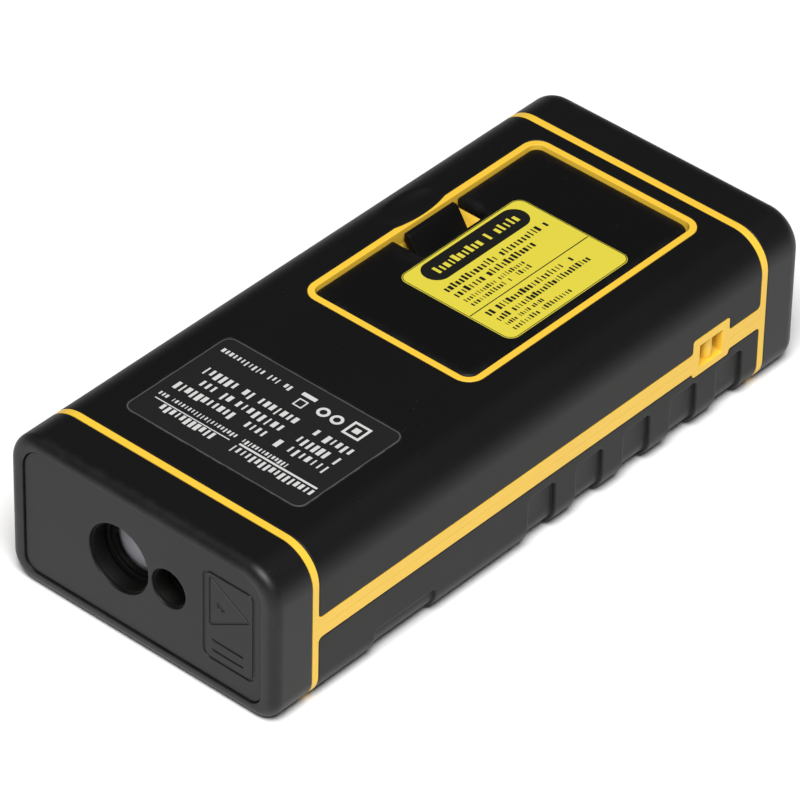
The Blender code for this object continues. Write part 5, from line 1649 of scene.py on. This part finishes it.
def build_stage():
    """The white floor, the sky, the one large light and the camera."""
    stage = bpy.context.scene.meter_stage
    scene = bpy.context.scene
    material, nodes, shader, place = start_material("studio_floor")
    shade_of = nodes.band(nodes.noise(place, 3.0), 0.3, 0.7, 0.985, 1.0)
    tone = nodes.add("ShaderNodeVectorMath", {0: (*stage.floor,)}, operation="SCALE")
    nodes.feed(tone, {"Scale": shade_of})
    nodes.feed(shader, {"Base Color": tone.outputs[0], "Roughness": 0.9,
                        "Specular IOR Level": 0.1})
    mesh = bpy.data.meshes.new("studio_floor")
    corners = [(x * FLOOR_REACH, y * FLOOR_REACH, -FLOOR_DROP)
               for x, y in ((-1, -1), (1, -1), (1, 1), (-1, 1))]
    mesh.from_pydata(corners, [], [(0, 1, 2, 3)])
    mesh.materials.append(material)
    add_object("studio_floor", mesh)

    world = bpy.data.worlds.new("studio_sky")
    scene.world = world
    world.use_nodes = True
    nodes = Nodes(world.node_tree)
    sky = world.node_tree.nodes["Background"]
    rise = nodes.add("ShaderNodeSeparateXYZ", {
        "Vector": nodes.add("ShaderNodeTexCoord").outputs["Generated"]}).outputs["Z"]
    nodes.feed(sky, {"Color": (1.0, 1.0, 1.0, 1.0),
                     "Strength": nodes.band(rise, 0.2, 0.5, stage.sky, stage.ceiling)})

    turn, lift = KEY_DIRECTION
    toward = Vector((math.sin(turn) * math.cos(lift), -math.cos(turn) * math.cos(lift),
                     math.sin(lift)))
    lamp = bpy.data.lights.new("large_soft_box", "AREA")
    lamp.shape = "DISK"
    lamp.size = LAMP_WIDTH
    lamp.energy = stage.key_light
    item = add_object("large_soft_box", lamp)
    item.matrix_world = (Matrix.Translation(toward * LAMP_DISTANCE)
                         @ toward.to_track_quat("Z", "Y").to_matrix().to_4x4())

    view = scene.view_settings
    view.view_transform = "Standard"
    view.look = "None"

    camera = bpy.data.cameras.new("studio_camera")
    camera.lens = VIEW_FOCAL / VIEW_WIDTH * SENSOR
    camera.sensor_width = SENSOR
    camera.clip_start = 0.01
    eye = add_object("studio_camera", camera)
    turn = (Matrix.Rotation(VIEW_ROLL, 3, "Z")
            @ Matrix.Rotation(-(math.pi / 2 - VIEW_ELEVATION), 3, "X")
            @ Matrix.Rotation(-VIEW_AZIMUTH, 3, "Z"))
    back = turn.transposed()
    spot = back @ Vector(VIEW_SHIFT) + Vector(VIEW_TARGET)
    eye.matrix_world = Matrix.Translation(spot * MM) @ back.to_4x4()
    scene.camera = eye


# ------------------------------------------------------------------ operators and panel

class MeterBuilder:
    """What the operators share: each one runs its own builders in turn."""

    def execute(self, context):
        for build in self.builders:
            build()
        return {"FINISHED"}


class METER_OT_case(MeterBuilder, bpy.types.Operator):
    """Build the yellow case: its core, its raised lines and the lanyard post"""
    bl_idname = "meter.build_case"
    bl_label = "Case and Lines"
    builders = (build_case,)


class METER_OT_skins(MeterBuilder, bpy.types.Operator):
    """Build the rubber skin on the back and the two side grips"""
    bl_idname = "meter.build_skins"
    bl_label = "Back Skin and Grips"
    builders = (build_skins,)


class METER_OT_bumpers(MeterBuilder, bpy.types.Operator):
    """Build the rubber guards at the nose and the tail"""
    bl_idname = "meter.build_bumpers"
    bl_label = "Guards"
    builders = (build_bumpers,)


class METER_OT_nose(MeterBuilder, bpy.types.Operator):
    """Build the nose panel with its apertures and grooves, and the optics behind it"""
    bl_idname = "meter.build_nose"
    bl_label = "Nose Panel and Optics"
    builders = (build_nose_panel, build_optics)


class METER_OT_door(MeterBuilder, bpy.types.Operator):
    """Build the battery door and its latch"""
    bl_idname = "meter.build_door"
    bl_label = "Door and Latch"
    builders = (build_door,)


class METER_OT_labels(MeterBuilder, bpy.types.Operator):
    """Build the two label films and their plain printed blocks"""
    bl_idname = "meter.build_labels"
    bl_label = "Labels"
    builders = (build_dark_label, build_note)


class METER_OT_front(MeterBuilder, bpy.types.Operator):
    """Build the display side: fascia, window and display"""
    bl_idname = "meter.build_front"
    bl_label = "Display Side"
    builders = (build_front,)


class METER_OT_keys(MeterBuilder, bpy.types.Operator):
    """Build the nine keys with their plain marks"""
    bl_idname = "meter.build_keys"
    bl_label = "Keys"
    builders = (build_keys,)


class METER_OT_power(MeterBuilder, bpy.types.Operator):
    """Build the two cells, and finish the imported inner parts"""
    bl_idname = "meter.build_power"
    bl_label = "Cells and Inner Parts"
    builders = (build_cells, dress_carried_nodes)


class METER_OT_stage(MeterBuilder, bpy.types.Operator):
    """Set out the floor, the lights and the camera"""
    bl_idname = "meter.build_stage"
    bl_label = "Stage"
    builders = (build_stage,)


OPERATORS = (METER_OT_case, METER_OT_skins, METER_OT_bumpers, METER_OT_nose, METER_OT_door,
             METER_OT_labels, METER_OT_front, METER_OT_keys, METER_OT_power, METER_OT_stage)


SETTINGS = {"meter_sizes": MeterSizes, "meter_colours": MeterColours,
            "meter_stage": MeterStage}


class METER_PT_panel(bpy.types.Panel):
    """Sidebar panel with the meter's sizes, colours and builders"""
    bl_idname = "METER_PT_panel"
    bl_label = "Distance Meter"
    bl_space_type = "VIEW_3D"
    bl_region_type = "UI"
    bl_category = "Meter"

    def draw(self, context):
        for attribute in SETTINGS:
            group = getattr(context.scene, attribute)
            column = self.layout.column(align=True)
            for name in group.__annotations__:
                column.prop(group, name)
        column = self.layout.column(align=True)
        for operator in OPERATORS:
            column.operator(operator.bl_idname)


CLASSES = (*SETTINGS.values(), *OPERATORS, METER_PT_panel)


def register():
    for item in CLASSES:
        bpy.utils.register_class(item)
    for name, group in SETTINGS.items():
        setattr(bpy.types.Scene, name, PointerProperty(type=group))


def unregister():
    for name in SETTINGS:
        delattr(bpy.types.Scene, name)
    for item in reversed(CLASSES):
        bpy.utils.unregister_class(item)


def main():
    register()
    for operator in OPERATORS:
        group, name = operator.bl_idname.split(".")
        getattr(getattr(bpy.ops, group), name)()


if __name__ == "__main__":
    main()
